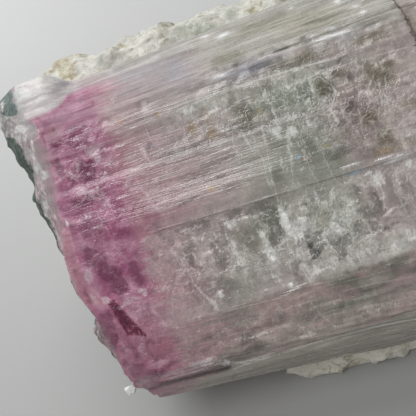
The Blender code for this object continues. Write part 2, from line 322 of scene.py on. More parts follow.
def crystal_mesh():
    """The whole skin: a fine wall and two caps, with the numbers that its material reads."""
    table = TABLE[0]
    density = np.where(table[:, 1] < 7.4, 1 / 0.166, 1 / 0.74)
    total = np.concatenate([[0], np.cumsum(density)])
    shares = np.interp(np.linspace(0, total[-1], AROUND, endpoint=False), total, np.arange(len(table) + 1) / len(table))
    alongs = np.interp(np.linspace(0, 1, ALONG + 1), [0, 0.34, 1], [0, 0.22, 1])       # closer rows at the pink end
    S, T = np.meshgrid(shares, alongs)
    p, q, x, w, front, upper, lower, blocky = wall(S.ravel(), T.ravel())
    j, i = np.meshgrid(np.arange(ALONG) * AROUND, np.arange(AROUND), indexing="ij")
    k = (i + 1) % AROUND
    faces = np.stack([j + i, j + k, j + AROUND + k, j + AROUND + i], -1).reshape(-1, 4).tolist()
    P, Q, X = [p], [q], [x]
    W, cap_of, deep = [w], [np.zeros(len(p))], [np.zeros(len(p))]
    kinds = [np.stack([front, upper, lower, blocky], 1)]
    start = len(p)
    for end, row in ((0, 0), (1, ALONG)):
        ring = slice(row * AROUND, (row + 1) * AROUND)
        outline = np.stack([p[ring], q[ring]], 1)
        pts, depth, tris = cap(outline, 0.42, 61 + end)
        grow = 1 + TAPER * ((-15.0 if end == 0 else ROOT_X) - 4.0)
        c = np.array(CENTRE)
        flat = c + (pts - c) / grow
        if end == 0:
            xs = tip_x(flat[:, 0], flat[:, 1], depth)
        else:
            xs = root_x(flat[:, 0], flat[:, 1])
        P.append(pts[:, 0]); Q.append(pts[:, 1]); X.append(xs)
        W.append(pts[:, 0] * 0.7 + 200)
        cap_of.append(np.full(len(pts), 1.0 if end == 0 else 2.0))
        deep.append(depth)
        kinds.append(np.zeros((len(pts), 4)))
        for f in tris:
            g = tuple(row * AROUND + v if v < AROUND else start + v - AROUND for v in f)
            faces.append(g)
        start += len(pts)
    P, Q, X, W = (np.concatenate(v) for v in (P, Q, X, W))
    cap_of, deep, kinds = np.concatenate(cap_of), np.concatenate(deep), np.concatenate(kinds)
    me = bpy.data.meshes.new("crystal_skin")
    me.from_pydata(to_world(P, Q, X).tolist(), [], faces)
    bm = bmesh.new()
    bm.from_mesh(me)
    bmesh.ops.recalc_face_normals(bm, faces=bm.faces)
    bm.to_mesh(me)
    bm.free()
    return me, P, Q, X, W, cap_of, deep, kinds


def put(me, name, values):
    values = np.asarray(values, np.float32)
    if values.ndim == 1:
        a = me.attributes.new(name, "FLOAT", "POINT")
        a.data.foreach_set("value", values)
    else:
        a = me.attributes.new(name, "FLOAT_VECTOR", "POINT")
        a.data.foreach_set("vector", values.ravel())


# ------------------------------------------------------------------ node helpers
def lin(r, g, b):
    def one(c):
        c /= 255.0
        return c / 12.92 if c <= 0.04045 else ((c + 0.055) / 1.055) ** 2.4
    return (one(r), one(g), one(b), 1.0)


class Nodes:
    """Short calls for building a material's nodes."""

    def __init__(self, mat):
        mat.use_nodes = True
        self.t = mat.node_tree
        self.out = self.t.nodes["Material Output"]
        self.shader = self.t.nodes["Principled BSDF"]

    def add(self, kind, **props):
        n = self.t.nodes.new(kind)
        for k, v in props.items():
            setattr(n, k, v)
        return n

    def plug(self, socket, value):
        if value is None:
            return
        if isinstance(value, bpy.types.NodeSocket):
            self.t.links.new(value, socket)
        else:
            socket.default_value = value

    def attr(self, name, out="Fac"):
        return self.add("ShaderNodeAttribute", attribute_name=name).outputs[out]

    def math(self, op, a, b=None, c=None, clamp=False):
        n = self.add("ShaderNodeMath", operation=op, use_clamp=clamp)
        for s, v in zip(n.inputs, (a, b, c)):
            self.plug(s, v)
        return n.outputs[0]

    def scaled(self, vec, scale, offset=(0, 0, 0)):
        n = self.add("ShaderNodeVectorMath", operation="MULTIPLY_ADD")
        self.plug(n.inputs[0], vec)
        n.inputs[1].default_value = scale
        n.inputs[2].default_value = offset
        return n.outputs[0]

    def vadd(self, a, b):
        n = self.add("ShaderNodeVectorMath", operation="ADD")
        self.plug(n.inputs[0], a)
        self.plug(n.inputs[1], b)
        return n.outputs[0]

    def noise(self, vec, scale=1.0, detail=2.0, rough=0.5, warp=0.0, colour=False, kind="FBM"):
        n = self.add("ShaderNodeTexNoise", noise_type=kind)
        self.plug(n.inputs["Vector"], vec)
        n.inputs["Scale"].default_value = scale
        n.inputs["Detail"].default_value = detail
        n.inputs["Roughness"].default_value = rough
        n.inputs["Distortion"].default_value = warp
        return n.outputs["Color" if colour else "Fac"]

    def voronoi(self, vec, scale=1.0, feature="F1", out="Distance", rand=1.0):
        n = self.add("ShaderNodeTexVoronoi", feature=feature)
        self.plug(n.inputs["Vector"], vec)
        n.inputs["Scale"].default_value = scale
        n.inputs["Randomness"].default_value = rand
        return n.outputs[out]

    def fit(self, value, a, b, c=0.0, d=1.0, smooth=True):
        n = self.add("ShaderNodeMapRange", interpolation_type="SMOOTHSTEP" if smooth else "LINEAR")
        self.plug(n.inputs["Value"], value)
        for k, v in zip(("From Min", "From Max", "To Min", "To Max"), (a, b, c, d)):
            self.plug(n.inputs[k], v)
        return n.outputs["Result"]

    def mix(self, fac, a, b, blend="MIX"):
        n = self.add("ShaderNodeMix", data_type="RGBA", blend_type=blend)
        n.clamp_factor = True
        self.plug(n.inputs[0], fac)
        self.plug(n.inputs[6], a)
        self.plug(n.inputs[7], b)
        return n.outputs[2]

    def bump(self, height, strength, distance, normal=None):
        n = self.add("ShaderNodeBump")
        n.inputs["Strength"].default_value = strength
        n.inputs["Distance"].default_value = distance
        self.plug(n.inputs["Height"], height)
        if normal is not None:
            self.plug(n.inputs["Normal"], normal)
        return n.outputs["Normal"]


# ------------------------------------------------------------------ the crystal's colours, written on its points
GAIN = 1.70      # how much lighter a surface's own colour is than it looks under these lights


def seen(r, g, b):
    """Linear colour of a surface that is to look this bright."""
    return np.minimum(0.93, GAIN * np.array(lin(r, g, b)[:3]))


def spots(s, p, rows, power=2.0):
    """The strongest of several soft patches, each: middle along and across, half sizes, turn in degrees, amount."""
    out = np.zeros(len(s))
    for a, b, ra, rb, turn, amount in rows:
        t = math.radians(turn)
        u = ((s - a) * math.cos(t) + (p - b) * math.sin(t)) / ra
        v = (-(s - a) * math.sin(t) + (p - b) * math.cos(t)) / rb
        out = np.maximum(out, amount * np.exp(-(np.abs(u) ** power + np.abs(v) ** power)))
    return out


def threads(s, p, rows):
    """The strongest of several soft lines, each: amount, half width, points."""
    out = np.zeros(len(s))
    for amount, width, points in rows:
        for (a0, b0), (a1, b1) in zip(points, points[1:]):
            ds, dp = a1 - a0, b1 - b0
            t = np.clip(((s - a0) * ds + (p - b0) * dp) / (ds * ds + dp * dp), 0, 1)
            d2 = (s - a0 - t * ds) ** 2 + (p - b0 - t * dp) ** 2
            out = np.maximum(out, amount * np.exp(-d2 / (width * width)))
    return out


def signed_lines(s, p, rows, reach=5.0):
    """Signed distance to the nearest of several lines, and that line's amount, which fades out away from it."""
    best = np.full(len(s), 99.0)
    signed, amount_at = best.copy(), np.zeros(len(s))
    for amount, _, points in rows:
        for (a0, b0), (a1, b1) in zip(points, points[1:]):
            ds, dp = a1 - a0, b1 - b0
            t = np.clip(((s - a0) * ds + (p - b0) * dp) / (ds * ds + dp * dp), 0, 1)
            d = np.hypot(s - a0 - t * ds, p - b0 - t * dp)
            near = d < best
            best = np.where(near, d, best)
            signed = np.where(near, np.where(ds * (p - b0) - dp * (s - a0) < 0, -d, d), signed)
            amount_at = np.where(near, amount, amount_at)
    return np.clip(signed, -reach, reach), amount_at * ramp(best, reach, reach * 0.6)


def facet_of(s, p, corners):
    """How far inside a convex outline each point lies; the corners run clockwise as seen with s to the right and p up."""
    level = np.full(len(s), 99.0)
    for (a0, b0), (a1, b1) in zip(corners, corners[1:] + corners[:1]):
        ds, dp = a1 - a0, b1 - b0
        level = np.minimum(level, -(ds * (p - b0) - dp * (s - a0)) / math.hypot(ds, dp))
    return level


def windows(s, p, rows):
    """How far inside the nearest of several rounded boxes each point lies, and that box's amount."""
    level, amount_at = np.full(len(s), -6.0), np.zeros(len(s))
    for a, b, ra, rb, turn, amount in rows:
        t = math.radians(turn)
        u = ((s - a) * math.cos(t) + (p - b) * math.sin(t)) / ra
        v = (-(s - a) * math.sin(t) + (p - b) * math.cos(t)) / rb
        k = (1 - (u ** 4 + v ** 4) ** 0.25) * min(ra, rb)
        near = k > level
        level = np.where(near, k, level)
        amount_at = np.where(near, amount, amount_at)
    return level, amount_at


def blend(colour, target, weight):
    w = np.clip(weight, 0, 1)[:, None]
    return colour * (1 - w) + target * w


def silhouette(s, p):
    """How far out each point's level of the tip reaches, in steps."""
    edges = np.arange(-200, 200, 4.0)
    at = np.clip(((p + 200) / 4).astype(int), 0, len(edges) - 1)
    least = np.full(len(edges), 0.0)
    np.minimum.at(least, at, s)
    least = np.minimum(least, (np.roll(least, 1) + least + np.roll(least, -1)) / 3)
    return np.interp(p, edges + 2, least)


DEEP_PINK = [  # crimson patches of the pink end
    (-132, -88, 5, 9, 10, 0.7), (-110, -48, 8, 6, -30, 0.8), (-92, -43, 3, 8, 10, 0.8), (-97, -141, 8, 3.2, -20, 0.95), (-104, -128, 6, 4, 30, 0.5), (-74, -112, 10, 9, 0, 0.55), (-118, 64, 5, 5, 0, 0.7), (-112, 100, 20, 12, 0, 0.5),
    (-84, 144, 20, 4.5, 0, 0.64), (-100, 108, 14, 10, 0, 0.55), (-125, 114, 6, 8, 0, 0.35), (-94, 103, 5, 8, 0, 0.6), (-129, 80, 4, 10, 12, 0.95),
    (-104, 72, 8, 11, -10, 1.0), (-119, 72, 6, 7, 0, 0.55), (-83, 62, 14, 4, 0, 0.5), (-115, 43, 15, 5.5, -8, 0.9), (-136, 16, 5, 9, 0, 0.6),
    (-116, 14, 13, 9, 0, 0.8), (-100, 2, 24, 5, 0, 0.6), (-122, -16, 13, 9, -25, 0.8), (-113, -34, 11, 8, -30, 0.85), (-106, -50, 8, 8, -60, 0.9),
    (-88, -40, 6, 13, 12, 0.75), (-128, -98, 6, 6, 0, 1.0), (-116, -110, 8, 12, 10, 0.4), (-86, -116, 13, 12, 0, 0.6), (-112, -140, 9, 12, 25, 0.8),
    (-97, -143, 8, 3.5, -20, 1.0), (-52, -134, 14, 3, 0, 0.5), (-60, 18, 14, 7, 0, 0.45), (-56, 5, 10, 9, 0, 0.35), (-78, 24, 14, 6, 0, 0.4),
    (-122, -126, 3, 5, 10, 0.7), (-108, -120, 4, 3, -20, 0.7), (-90, -128, 7, 3, -10, 0.7), (-80, -138, 10, 2.2, 0, 0.7), (-118, -142, 3, 5, 20, 0.7), (-104, -151, 8, 2.4, -10, 0.8),
    (-96, -110, 3, 6, 30, 0.65), (-137, -80, 3, 6, 10, 0.75), (-131, -106, 3, 5, 10, 0.7), (-141, -50, 2, 6, 10, 0.7), (-145, -20, 2, 4, 0, 0.65), (-128, 104, 3, 5, 0, 0.7), (-84, 84, 3, 5, -20, 0.7),
    (-92, 60, 12, 3, 0, 0.5), (-68, 126, 16, 2.5, 0, 0.55), (-128, -78, 6, 10, 10, 0.7), (-76, -30, 6, 14, 10, 0.35), (-116, 124, 12, 4, 0, 0.3),
]
WEDGE = [(-124, -62), (-117, -60), (-96, -104), (-114, -98)]
PALE_PINK = [  # pink-white knots and wisps
    (-93, 89, 6.5, 5.5, 0, 1.0), (-93, 80, 4, 5, 0, 0.7), (-112, 51, 9, 3.5, -18, 0.85), (-118, 56, 6, 3, 10, 0.6), (-120, 72, 2.5, 7, 30, 0.8),
    (-112, 76, 2.5, 6, -25, 0.7), (-125, 87, 7, 2.2, -8, 0.5), (-134, -30, 5, 7, 0, 0.75), (-133, -52, 5, 8, 20, 0.6), (-124, -58, 3, 3, 0, 1.0),
    (-106, -67, 10, 2.2, 4, 0.9), (-89, -59, 5, 4, -40, 0.7), (-98, -80, 13, 11, 0, 0.42), (-80, -84, 9, 12, 10, 0.5), (-60, -90, 14, 12, 0, 0.2),
    (-104, -62, 8, 4, 0, 0.6), (-115, 131, 14, 3.5, 0, 0.4), (-102, 134, 3, 8, 20, 0.35), (-103, 97, 2, 8, 12, 0.45), (-91, 97, 2, 8, -10, 0.5),
    (-107, 28, 16, 3, -5, 0.35), (-98, 40, 3.5, 10, 20, 0.5), (-96, -20, 2.4, 10, 25, 0.35), (-52, -146, 12, 5, 0, 0.75), (-84, -148, 12, 3, 0, 0.5),
    (-104, -116, 3, 10, -15, 0.6), (-92, -132, 9, 1.8, -6, 0.7), (-118, -112, 2.5, 8, 8, 0.5), (-112, -148, 8, 2.5, 0, 0.7), (-120, -134, 4, 6, 0, 0.45), (-84, -104, 6, 8, 0, 0.4), (-76, -98, 8, 4, 0, 0.5),
    (-112, -150, 13, 9, 0, 0.75), (-120, -134, 8, 10, 0, 0.4), (-70, -98, 12, 12, 0, 0.4), (-66, 46, 5, 6, -30, 0.4), (-84, 74, 7, 6, 0, 0.35), (-128, -2, 9, 5, 10, 0.45), (-72, -38, 6, 16, 10, 0.35), (-50, -30, 10, 14, 0, 0.35),
]
DARK = [  # windows that look into the crystal; the first three rows are painted shade in the crevice along the bottom edge
    (-66, -155.5, 32, 2.4, -2, 0.4), (-35, -158, 8, 3.0, 0, 0.9), (-110, -156, 12, 2.2, 0, 0.3), (-118, -50, 0.1, 0.1, 0, 0.1),
    (-34, -15, 5, 5, 0, 0.55), (-14, -14, 12, 5, 0, 0.75), (23, -14, 10, 5, 0, 0.8), (53, -14, 17, 5.5, 0, 0.75), (-29, -38, 6, 18, 0, 0.35),
    (0, -44, 7.5, 20, -8, 0.62), (29, -42, 11, 17, 0, 0.36), (57, -34, 10, 18, 0, 1.0), (55, -52, 5, 9, -30, 0.85), (-38, -70, 4, 6, 20, 0.55),
    (-24, -76, 9, 11, 0, 0.34), (0, -84, 14, 16, 0, 0.26), (24, -70, 6, 12, 0, 0.2), (36, -68, 4, 10, 15, 0.34), (67, -88, 4, 14, 5, 0.6),
    (89, -69, 5.5, 9, 0, 1.25), (98, -66, 6, 6, 0, 0.9), (92, -60, 10, 5, 0, 0.9), (119, -73, 13, 4.5, 0, 0.85), (115, -84, 5, 8, -15, 0.8), (126, -66, 5, 3, 0, 0.9),
    (139, -58, 4, 5, 0, 0.7), (134, -66, 9, 6, 0, 0.4), (152, -55, 6, 12, 18, 0.72), (163, -46, 6, 12, 8, 1.0), (160, -34, 3, 6, -20, 0.7),
    (164, -70, 14, 2.6, 0, 0.9), (147, -26, 2.5, 5, 0, 0.6), (180, -36, 5, 20, 0, 0.42), (190, -58, 6, 10, 20, 0.4), (98, -27, 2.5, 5, -10, 0.6),
    (196, -36, 7, 12, 0, 0.3), (210, -60, 10, 16, 0, 0.3), (124, -32, 6, 9, 0, 0.2),
    (60, 76, 9, 12, -8, 0.66), (54, 98, 4, 10, -30, 0.6), (45, 70, 6, 5, 0, 0.7), (64, 88, 4, 8, -10, 0.6),
    (93, 60, 9, 4, 0, 0.62), (120, 61, 12, 4, 0, 0.7), (124, 56, 6, 8, 0, 0.45), (92, 100, 6, 7, 0, 0.4), (112, 30, 8, 12, 0, 0.5), (140, 15, 14, 6, 0, 0.72),
    (116, 18, 14, 9, 0, 0.45), (136, 46, 9, 6, 0, 0.35), (146, 84, 6, 10, 20, 0.75), (152, 72, 4, 9, 10, 0.6), (165, 89, 8, 5, 0, 0.7), (181, 87, 4, 4, 0, 0.5),
    (165, 58, 7, 6, 0, 0.85), (175, 62, 8, 3, 0, 0.6), (203, 76, 13, 13, 0, 0.42), (212, 72, 6, 7, 0, 0.5), (196, 63, 6, 2, 0, 0.7), (222, 62, 8, 2, 0, 0.7),
    (170, 104, 3, 3, 0, 0.8), (190, 16, 7, 7, 0, 0.65), (180, 40, 9, 5, 0, 0.5), (150, 42, 8, 3, 0, 0.4), (170, 6, 8, 6, 0, 0.4), (205, 116, 18, 4, 0, 0.4),
    (130, 113, 26, 4.5, 0, 0.62), (150, 118, 14, 5, 0, 0.5), (116, 118, 8, 8, 0, 0.4), (93, 122, 13, 5, 0, 0.62), (70, 114, 20, 4, 0, 0.3), (62, 135, 18, 6, 0, 0.5),
    (68, 128, 16, 2.5, 0, 0.6), (130, 132, 28, 2.0, 0, 0.62), (160, 147, 18, 2.6, 0, 0.36), (100, 160, 20, 2.2, 0, 0.25), (210, 130, 20, 3, 0, 0.5),
    (22, 42, 16, 1.8, 0, 0.75), (2, 33, 9, 1.9, 0, 0.8), (20, 26, 6, 1.7, 0, 1.0), (-18, 13, 12, 2.0, 0, 0.85), (-14, 28, 14, 1.2, 0, 0.5), (8, 37, 30, 1.0, 0, 0.4), (-40, 42, 14, 1.3, 0, 0.4),
    (90, 40, 16, 3, 0, 0.4), (52, 34, 18, 2, 0, 0.3), (76, 10, 6, 10, 0, 0.35), (30, 14, 8, 6, 0, 0.25), (60, 0, 12, 6, 0, 0.22),
    (-38, 74, 2.4, 9, -18, 0.5), (-35, 92, 2.2, 14, 5, 0.3), (-6, 76, 3, 10, 0, 0.25), (-30, 104, 22, 2, 0, 0.4), (-84, 97, 20, 1.4, 4, 0.35),
    (25, -128, 8, 4, 0, 0.5), (38, -128, 5, 5, 0, 0.4), (9, -147, 6, 5, 0, 0.6), (70, -135, 12, 5, 0, 0.35), (88, -145, 10, 4, 0, 0.55), (116, -148, 7, 5, 0, 0.6),
    (110, -118, 14, 12, 0, 0.42), (168, -112, 10, 9, 0, 0.5), (190, -116, 14, 8, 0, 0.4), (121, -105, 5, 2.4, 0, 0.5), (-15, -110, 12, 5, 0, 0.2), (20, -108, 14, 6, 0, 0.16),
    (150, -133, 24, 1.6, 0, 0.5), (60, -141, 20, 1.6, 0, 0.35), (-40, -122, 30, 1.4, 0, 0.3), (-50, -134, 16, 2.2, 0, 0.5), (0, -130, 20, 1.6, 0, 0.4), (-2, -140, 8, 8, 0, 0.3),
]
VEIL = [  # healed cracks that scatter white, most of them across the axis
    (-22, -50, 4, 14, 14, 0.55), (-12, -52, 5, 12, 0, 0.6), (-44, -34, 5, 16, 10, 0.5), (-36, -42, 3, 14, 10, 0.6), (-25, -88, 3, 16, 28, 0.85), (-12, -86, 3, 4, 0, 0.9),
    (12, -48, 4.5, 16, 8, 0.75), (17, -60, 3, 9, 18, 0.8), (17, -24, 7, 6, 0, 0.75), (44, -46, 4.5, 14, 8, 0.85), (46, -60, 6, 5, 0, 0.7), (48, -69, 4, 3, 0, 0.9),
    (45, -88, 4, 14, 25, 0.55), (60, -76, 8, 12, 15, 0.4), (57, -98, 3.5, 3, 0, 0.9), (72, -40, 6, 26, 3, 0.95), (80, -48, 6, 16, 5, 0.8), (84, -41, 5, 5, 0, 1.0),
    (76, -78, 3.5, 22, 12, 0.75), (70, -70, 3, 12, 0, 0.55), (86, -90, 10, 10, 0, 0.62), (104, -88, 8, 12, 0, 0.55), (104, -58, 4, 5, 0, 0.7), (112, -56, 12, 7, 0, 0.75),
    (96, -44, 8, 12, 0, 0.55), (90, -24, 5, 10, 15, 0.55), (106, -26, 3, 6, 0, 0.9), (116, -28, 8, 10, 0, 0.45), (123, -22, 3, 10, 0, 0.75), (128, -52, 10, 9, 0, 0.8),
    (118, -62, 4, 3, 0, 1.1), (134, -42, 9, 10, -20, 0.55), (145, -38, 5, 12, 10, 0.4), (124, -90, 7, 10, 20, 0.55), (138, -88, 16, 10, 0, 0.62), (162, -92, 16, 8, 0, 0.55),
    (148, -78, 8, 4, 0, 0.5), (171, -21, 10, 12, 0, 0.9), (156, -22, 4, 6, 0, 0.6), (170, -52, 5, 8, 0, 0.35), (186, -84, 10, 12, 20, 0.55), (188, -34, 5, 16, -6, 0.42), (205, -14, 4, 4, 0, 0.9),
    (205, -80, 14, 14, 0, 0.45), (60, -20, 6, 3, 0, 0.2), (75, -26, 5, 10, 10, 0.7), (20, -98, 10, 8, 0, 0.22),
    (9, 99, 11, 4, 0, 0.75), (18, 96, 4, 8, 15, 0.5), (38, 92, 12, 12, 0, 0.6), (48, 100, 8, 5, 0, 0.5), (30, 103, 12, 5, 0, 0.4), (-44, 74, 5, 9, 25, 0.7), (-46, 68, 4, 3, 0, 0.6), (-33, 68, 3, 7, -25, 0.45),
    (-12, 68, 4, 9, -20, 0.55), (-18, 80, 6, 3, 0, 0.5), (-1, 60, 6, 3, 0, 0.5), (-30, 48, 7, 7, -40, 0.45), (-22, 56, 8, 2, 0, 0.5), (-56, 32, 1.6, 16, 14, 0.75), (-50, 16, 1.4, 8, 40, 0.7),
    (57, 52, 2.2, 14, 14, 0.6), (34, 52, 8, 3, 0, 0.6), (44, 44, 3, 6, 30, 0.6), (74, 52, 2.4, 12, -10, 0.65), (70, 20, 2.2, 18, 0, 0.5), (88, 52, 7, 9, 0, 0.8), (82, 56, 6, 5, 0, 0.6),
    (98, 44, 2.4, 16, -8, 0.7), (94, 28, 2.0, 18, -8, 0.55), (104, 48, 6, 6, 0, 0.95), (107, 26, 2.4, 22, 6, 0.62), (112, 2, 2.4, 16, 4, 0.45), (125, 26, 2.2, 22, 3, 0.6), (122, 54, 2.2, 8, 0, 0.5),
    (85, 20, 2.4, 10, 10, 0.75), (80, -2, 2.5, 10, 0, 0.5), (46, 12, 2.2, 5, 0, 0.6), (40, 24, 1.6, 12, 0, 0.4), (62, 24, 2, 14, 6, 0.4), (132, 30, 4, 4, 0, 0.5),
    (90, 84, 2.4, 20, 8, 0.75), (96, 72, 5, 4, 30, 0.5), (100, 66, 3, 9, -25, 0.5), (110, 62, 8, 6, -20, 0.4), (121, 75, 9, 2, 25, 0.6), (123, 84, 2, 9, 12, 0.45), (134, 88, 2.4, 9, 0, 0.8), (107, 92, 14, 2, 0, 0.5),
    (118, 92, 10, 2, 0, 0.75), (150, 92, 3, 10, 30, 0.6), (155, 76, 2.2, 7, 40, 0.55), (148, 56, 2.2, 14, 16, 0.85), (150, 46, 2.2, 5, 0, 0.9), (162, 34, 2.2, 10, 0, 0.3), (140, 38, 9, 3, -10, 0.5),
    (128, 48, 10, 7, 0, 0.5), (155, 54, 6, 3, 0, 0.6), (112, 100, 24, 6, 0, 0.42), (150, 103, 22, 4, 0, 0.42), (146, 95, 9, 4, 0, 0.7), (166, 97, 16, 3, 0, 0.42), (184, 96, 5, 14, 0, 0.5), (178, 114, 6, 9, 0, 0.5),
    (203, 88, 14, 8, 0, 0.35), (196, 70, 10, 8, 0, 0.45), (200, 52, 7, 7, 0, 0.55), (196, 34, 9, 3, -30, 0.35), (210, 46, 18, 2, 0, 0.4), (186, 62, 3, 10, 0, 0.45), (226, 104, 14, 10, 0, 0.35),
    (117, 117, 2, 9, 0, 0.6), (106, 112, 2, 7, 0, 0.4), (190, 120, 3, 3, 0, 0.5), (168, 120, 9, 5, 0, 0.35), (202, 114, 4, 3, 0, 0.6), (214, 12, 16, 2, 0, 0.6), (148, -2, 16, 1.6, 4, 0.7),
    (102, 10, 3, 3, 0, 0.6), (116, 10, 20, 1.6, 0, 0.3),
    (50, -146, 30, 3, 0, 0.35), (58, -150, 14, 4, 0, 0.5), (12, -136, 24, 1.6, -4, 0.75), (34, -138, 10, 1.6, 0, 0.5), (-18, -130, 8, 1.2, 0, 0.5), (-42, -148, 14, 5, 0, 0.6), (140, -146, 26, 6, 0, 0.4),
    (128, -140, 14, 4, 0, 0.3), (92, -150, 14, 3, 0, 0.4), (170, -150, 14, 4, 0, 0.35), (-26, -153, 5, 4, 0, 0.9), (68, -121, 22, 1.5, 0, 0.4), (100, -127, 20, 1.4, -4, 0.3),
]
EDGE_HIGHLIGHTS = [  # thin pale lines along the edges of the steps and along the ridge, mostly painted highlights where these edges catch the light
    (0.75, 1.3, [(-136, 94), (-100, 93), (-60, 93), (-50, 94)]), (0.85, 1.2, [(-128, 92), (-96, 92)]), (0.5, 1.4, [(-48, 101), (-20, 104), (12, 108), (40, 112)]),
    (0.85, 1.6, [(64, 107), (100, 108), (140, 107), (165, 106)]), (0.5, 1.6, [(100, 93), (150, 96), (200, 97), (240, 95)]), (0.8, 1.5, [(-62, -6), (-20, -7), (20, -7), (66, -7), (100, -8)]),
    (0.35, 1.4, [(100, -14), (140, -17), (200, -19)]), (0.85, 1.7, [(-22, -161), (20, -160), (60, -160), (120, -162), (160, -166), (230, -176)]), (0.75, 1.3, [(-96, -151), (-60, -152), (-30, -152), (-10, -158), (20, -157)]),
    (0.35, 2.0, [(-52, 125), (-20, 127), (14, 127)]), (0.5, 2.5, [(20, 118), (60, 121), (100, 128), (150, 127), (200, 128)]), (0.12, 1.3, [(-40, 60), (20, 61), (60, 63)]),
    (0.45, 1.2, [(-60, 57), (-100, 60)]), (0.6, 1.2, [(-60, 48), (-54, 28), (-47, 10)]), (0.4, 1.3, [(60, 60), (110, 56), (160, 60)]),
]
CRACKS = [  # thin white cracks, most of them across the axis
    (0.6, 1.3, [(76, 58), (73, 35), (70, 10), (69, -10), (67, -32), (66, -60), (71, -82), (76, -100)]), (0.7, 1.2, [(53, 62), (57, 50), (61, 36)]), (0.5, 1.1, [(64, 56), (66, 30), (65, 4)]),
    (0.7, 1.2, [(84, 50), (88, 60), (93, 44)]), (0.6, 1.3, [(98, 50), (95, 35), (92, 15), (88, -2)]), (0.6, 1.3, [(103, 50), (107, 30), (109, 10), (112, -6)]), (0.5, 1.1, [(112, 55), (110, 40), (113, 20)]),
    (0.55, 1.3, [(119, 52), (123, 30), (127, 10), (129, -8)]), (0.85, 1.3, [(84, 104), (86, 95), (90, 80), (93, 62)]), (0.6, 1.1, [(104, 92), (107, 80), (106, 70), (101, 61)]), (0.55, 1.0, [(95, 86), (98, 72), (108, 62)]),
    (0.7, 1.1, [(120, 92), (118, 80), (125, 73), (131, 79)]), (0.7, 1.2, [(133, 96), (134, 84), (131, 68)]), (0.75, 1.3, [(138, 98), (147, 90), (154, 81), (157, 74), (150, 64)]), (0.9, 1.3, [(142, 68), (147, 55), (151, 44)]),
    (0.4, 1.3, [(163, 48), (160, 30), (164, 10)]), (0.4, 1.2, [(172, 48), (170, 30), (172, 2)]), (0.5, 1.4, [(178, 112), (182, 90), (187, 70), (191, 52)]), (0.5, 1.1, [(-2, 97), (4, 86), (6, 96), (14, 92)]),
    (0.55, 1.1, [(28, 102), (35, 88), (33, 74)]), (0.5, 1.0, [(18, 98), (24, 88), (22, 80)]), (0.5, 1.1, [(45, 62), (42, 50), (47, 40)]), (0.9, 1.2, [(40, -36), (43, -50), (46, -58)]), (0.8, 1.1, [(52, -34), (48, -46), (46, -56)]),
    (0.8, 1.3, [(9, -30), (13, -48), (18, -63)]), (0.5, 1.2, [(33, -64), (40, -80), (50, -98)]), (0.7, 1.2, [(66, -62), (72, -84), (76, -100)]), (0.5, 1.1, [(92, -76), (93, -92)]), (0.6, 1.3, [(104, -62), (107, -74), (113, -87), (123, -95)]),
    (0.5, 1.1, [(138, -38), (146, -60)]), (0.8, 1.4, [(168, -18), (172, -36), (168, -52)]), (0.5, 1.3, [(186, -22), (184, -40), (189, -62)]), (0.5, 1.2, [(169, -76), (178, -92)]), (0.75, 1.2, [(-45, -30), (-38, -50), (-35, -70), (-28, -84), (-20, -99)]),
    (0.5, 1.2, [(-52, -60), (-44, -80)]), (0.5, 1.2, [(-22, -24), (-17, -46)]), (0.7, 1.2, [(-49, 88), (-47, 70), (-42, 62)]), (0.6, 1.1, [(-36, 94), (-34, 78), (-40, 66)]), (0.4, 1.0, [(-30, 74), (-28, 62)]), (0.5, 1.0, [(-8, 78), (-14, 64)]),
    (0.55, 1.2, [(123, -16), (124, -34)]), (0.5, 1.2, [(88, -18), (94, -32)]), (0.6, 1.1, [(104, -18), (107, -30)]), (0.5, 1.2, [(-60, 48), (-55, 34), (-52, 22), (-46, 10)]), (0.6, 1.0, [(-122, 56), (-112, 52), (-106, 58), (-116, 60)]),
    (0.7, 1.1, [(-110, 47), (-104, 50), (-100, 44), (-103, 36), (-112, 34)]), (0.7, 1.1, [(-128, 62), (-122, 68), (-116, 80)]), (0.6, 1.0, [(-122, 68), (-126, 76)]), (0.6, 1.2, [(-139, 20), (-140, -6), (-138, -24), (-134, -44), (-128, -58)]),
    (0.5, 1.1, [(-119, -64), (-112, -69), (-98, -68)]), (0.5, 1.1, [(-92, -56), (-87, -58), (-82, -68)]), (0.5, 1.1, [(-104, -34), (-98, -24), (-96, -14)]), (0.4, 1.2, [(-96, -18), (-98, 4), (-99, 24)]), (0.5, 1.1, [(-84, -78), (-78, -90), (-74, -100)]),
    (0.5, 1.2, [(-112, -98), (-108, -116), (-98, -126)]), (0.5, 1.0, [(-88, -134), (-96, -142), (-94, -150)]), (0.6, 1.1, [(-98, 106), (-101, 96)]), (0.5, 1.1, [(-86, 104), (-90, 94)]),
]
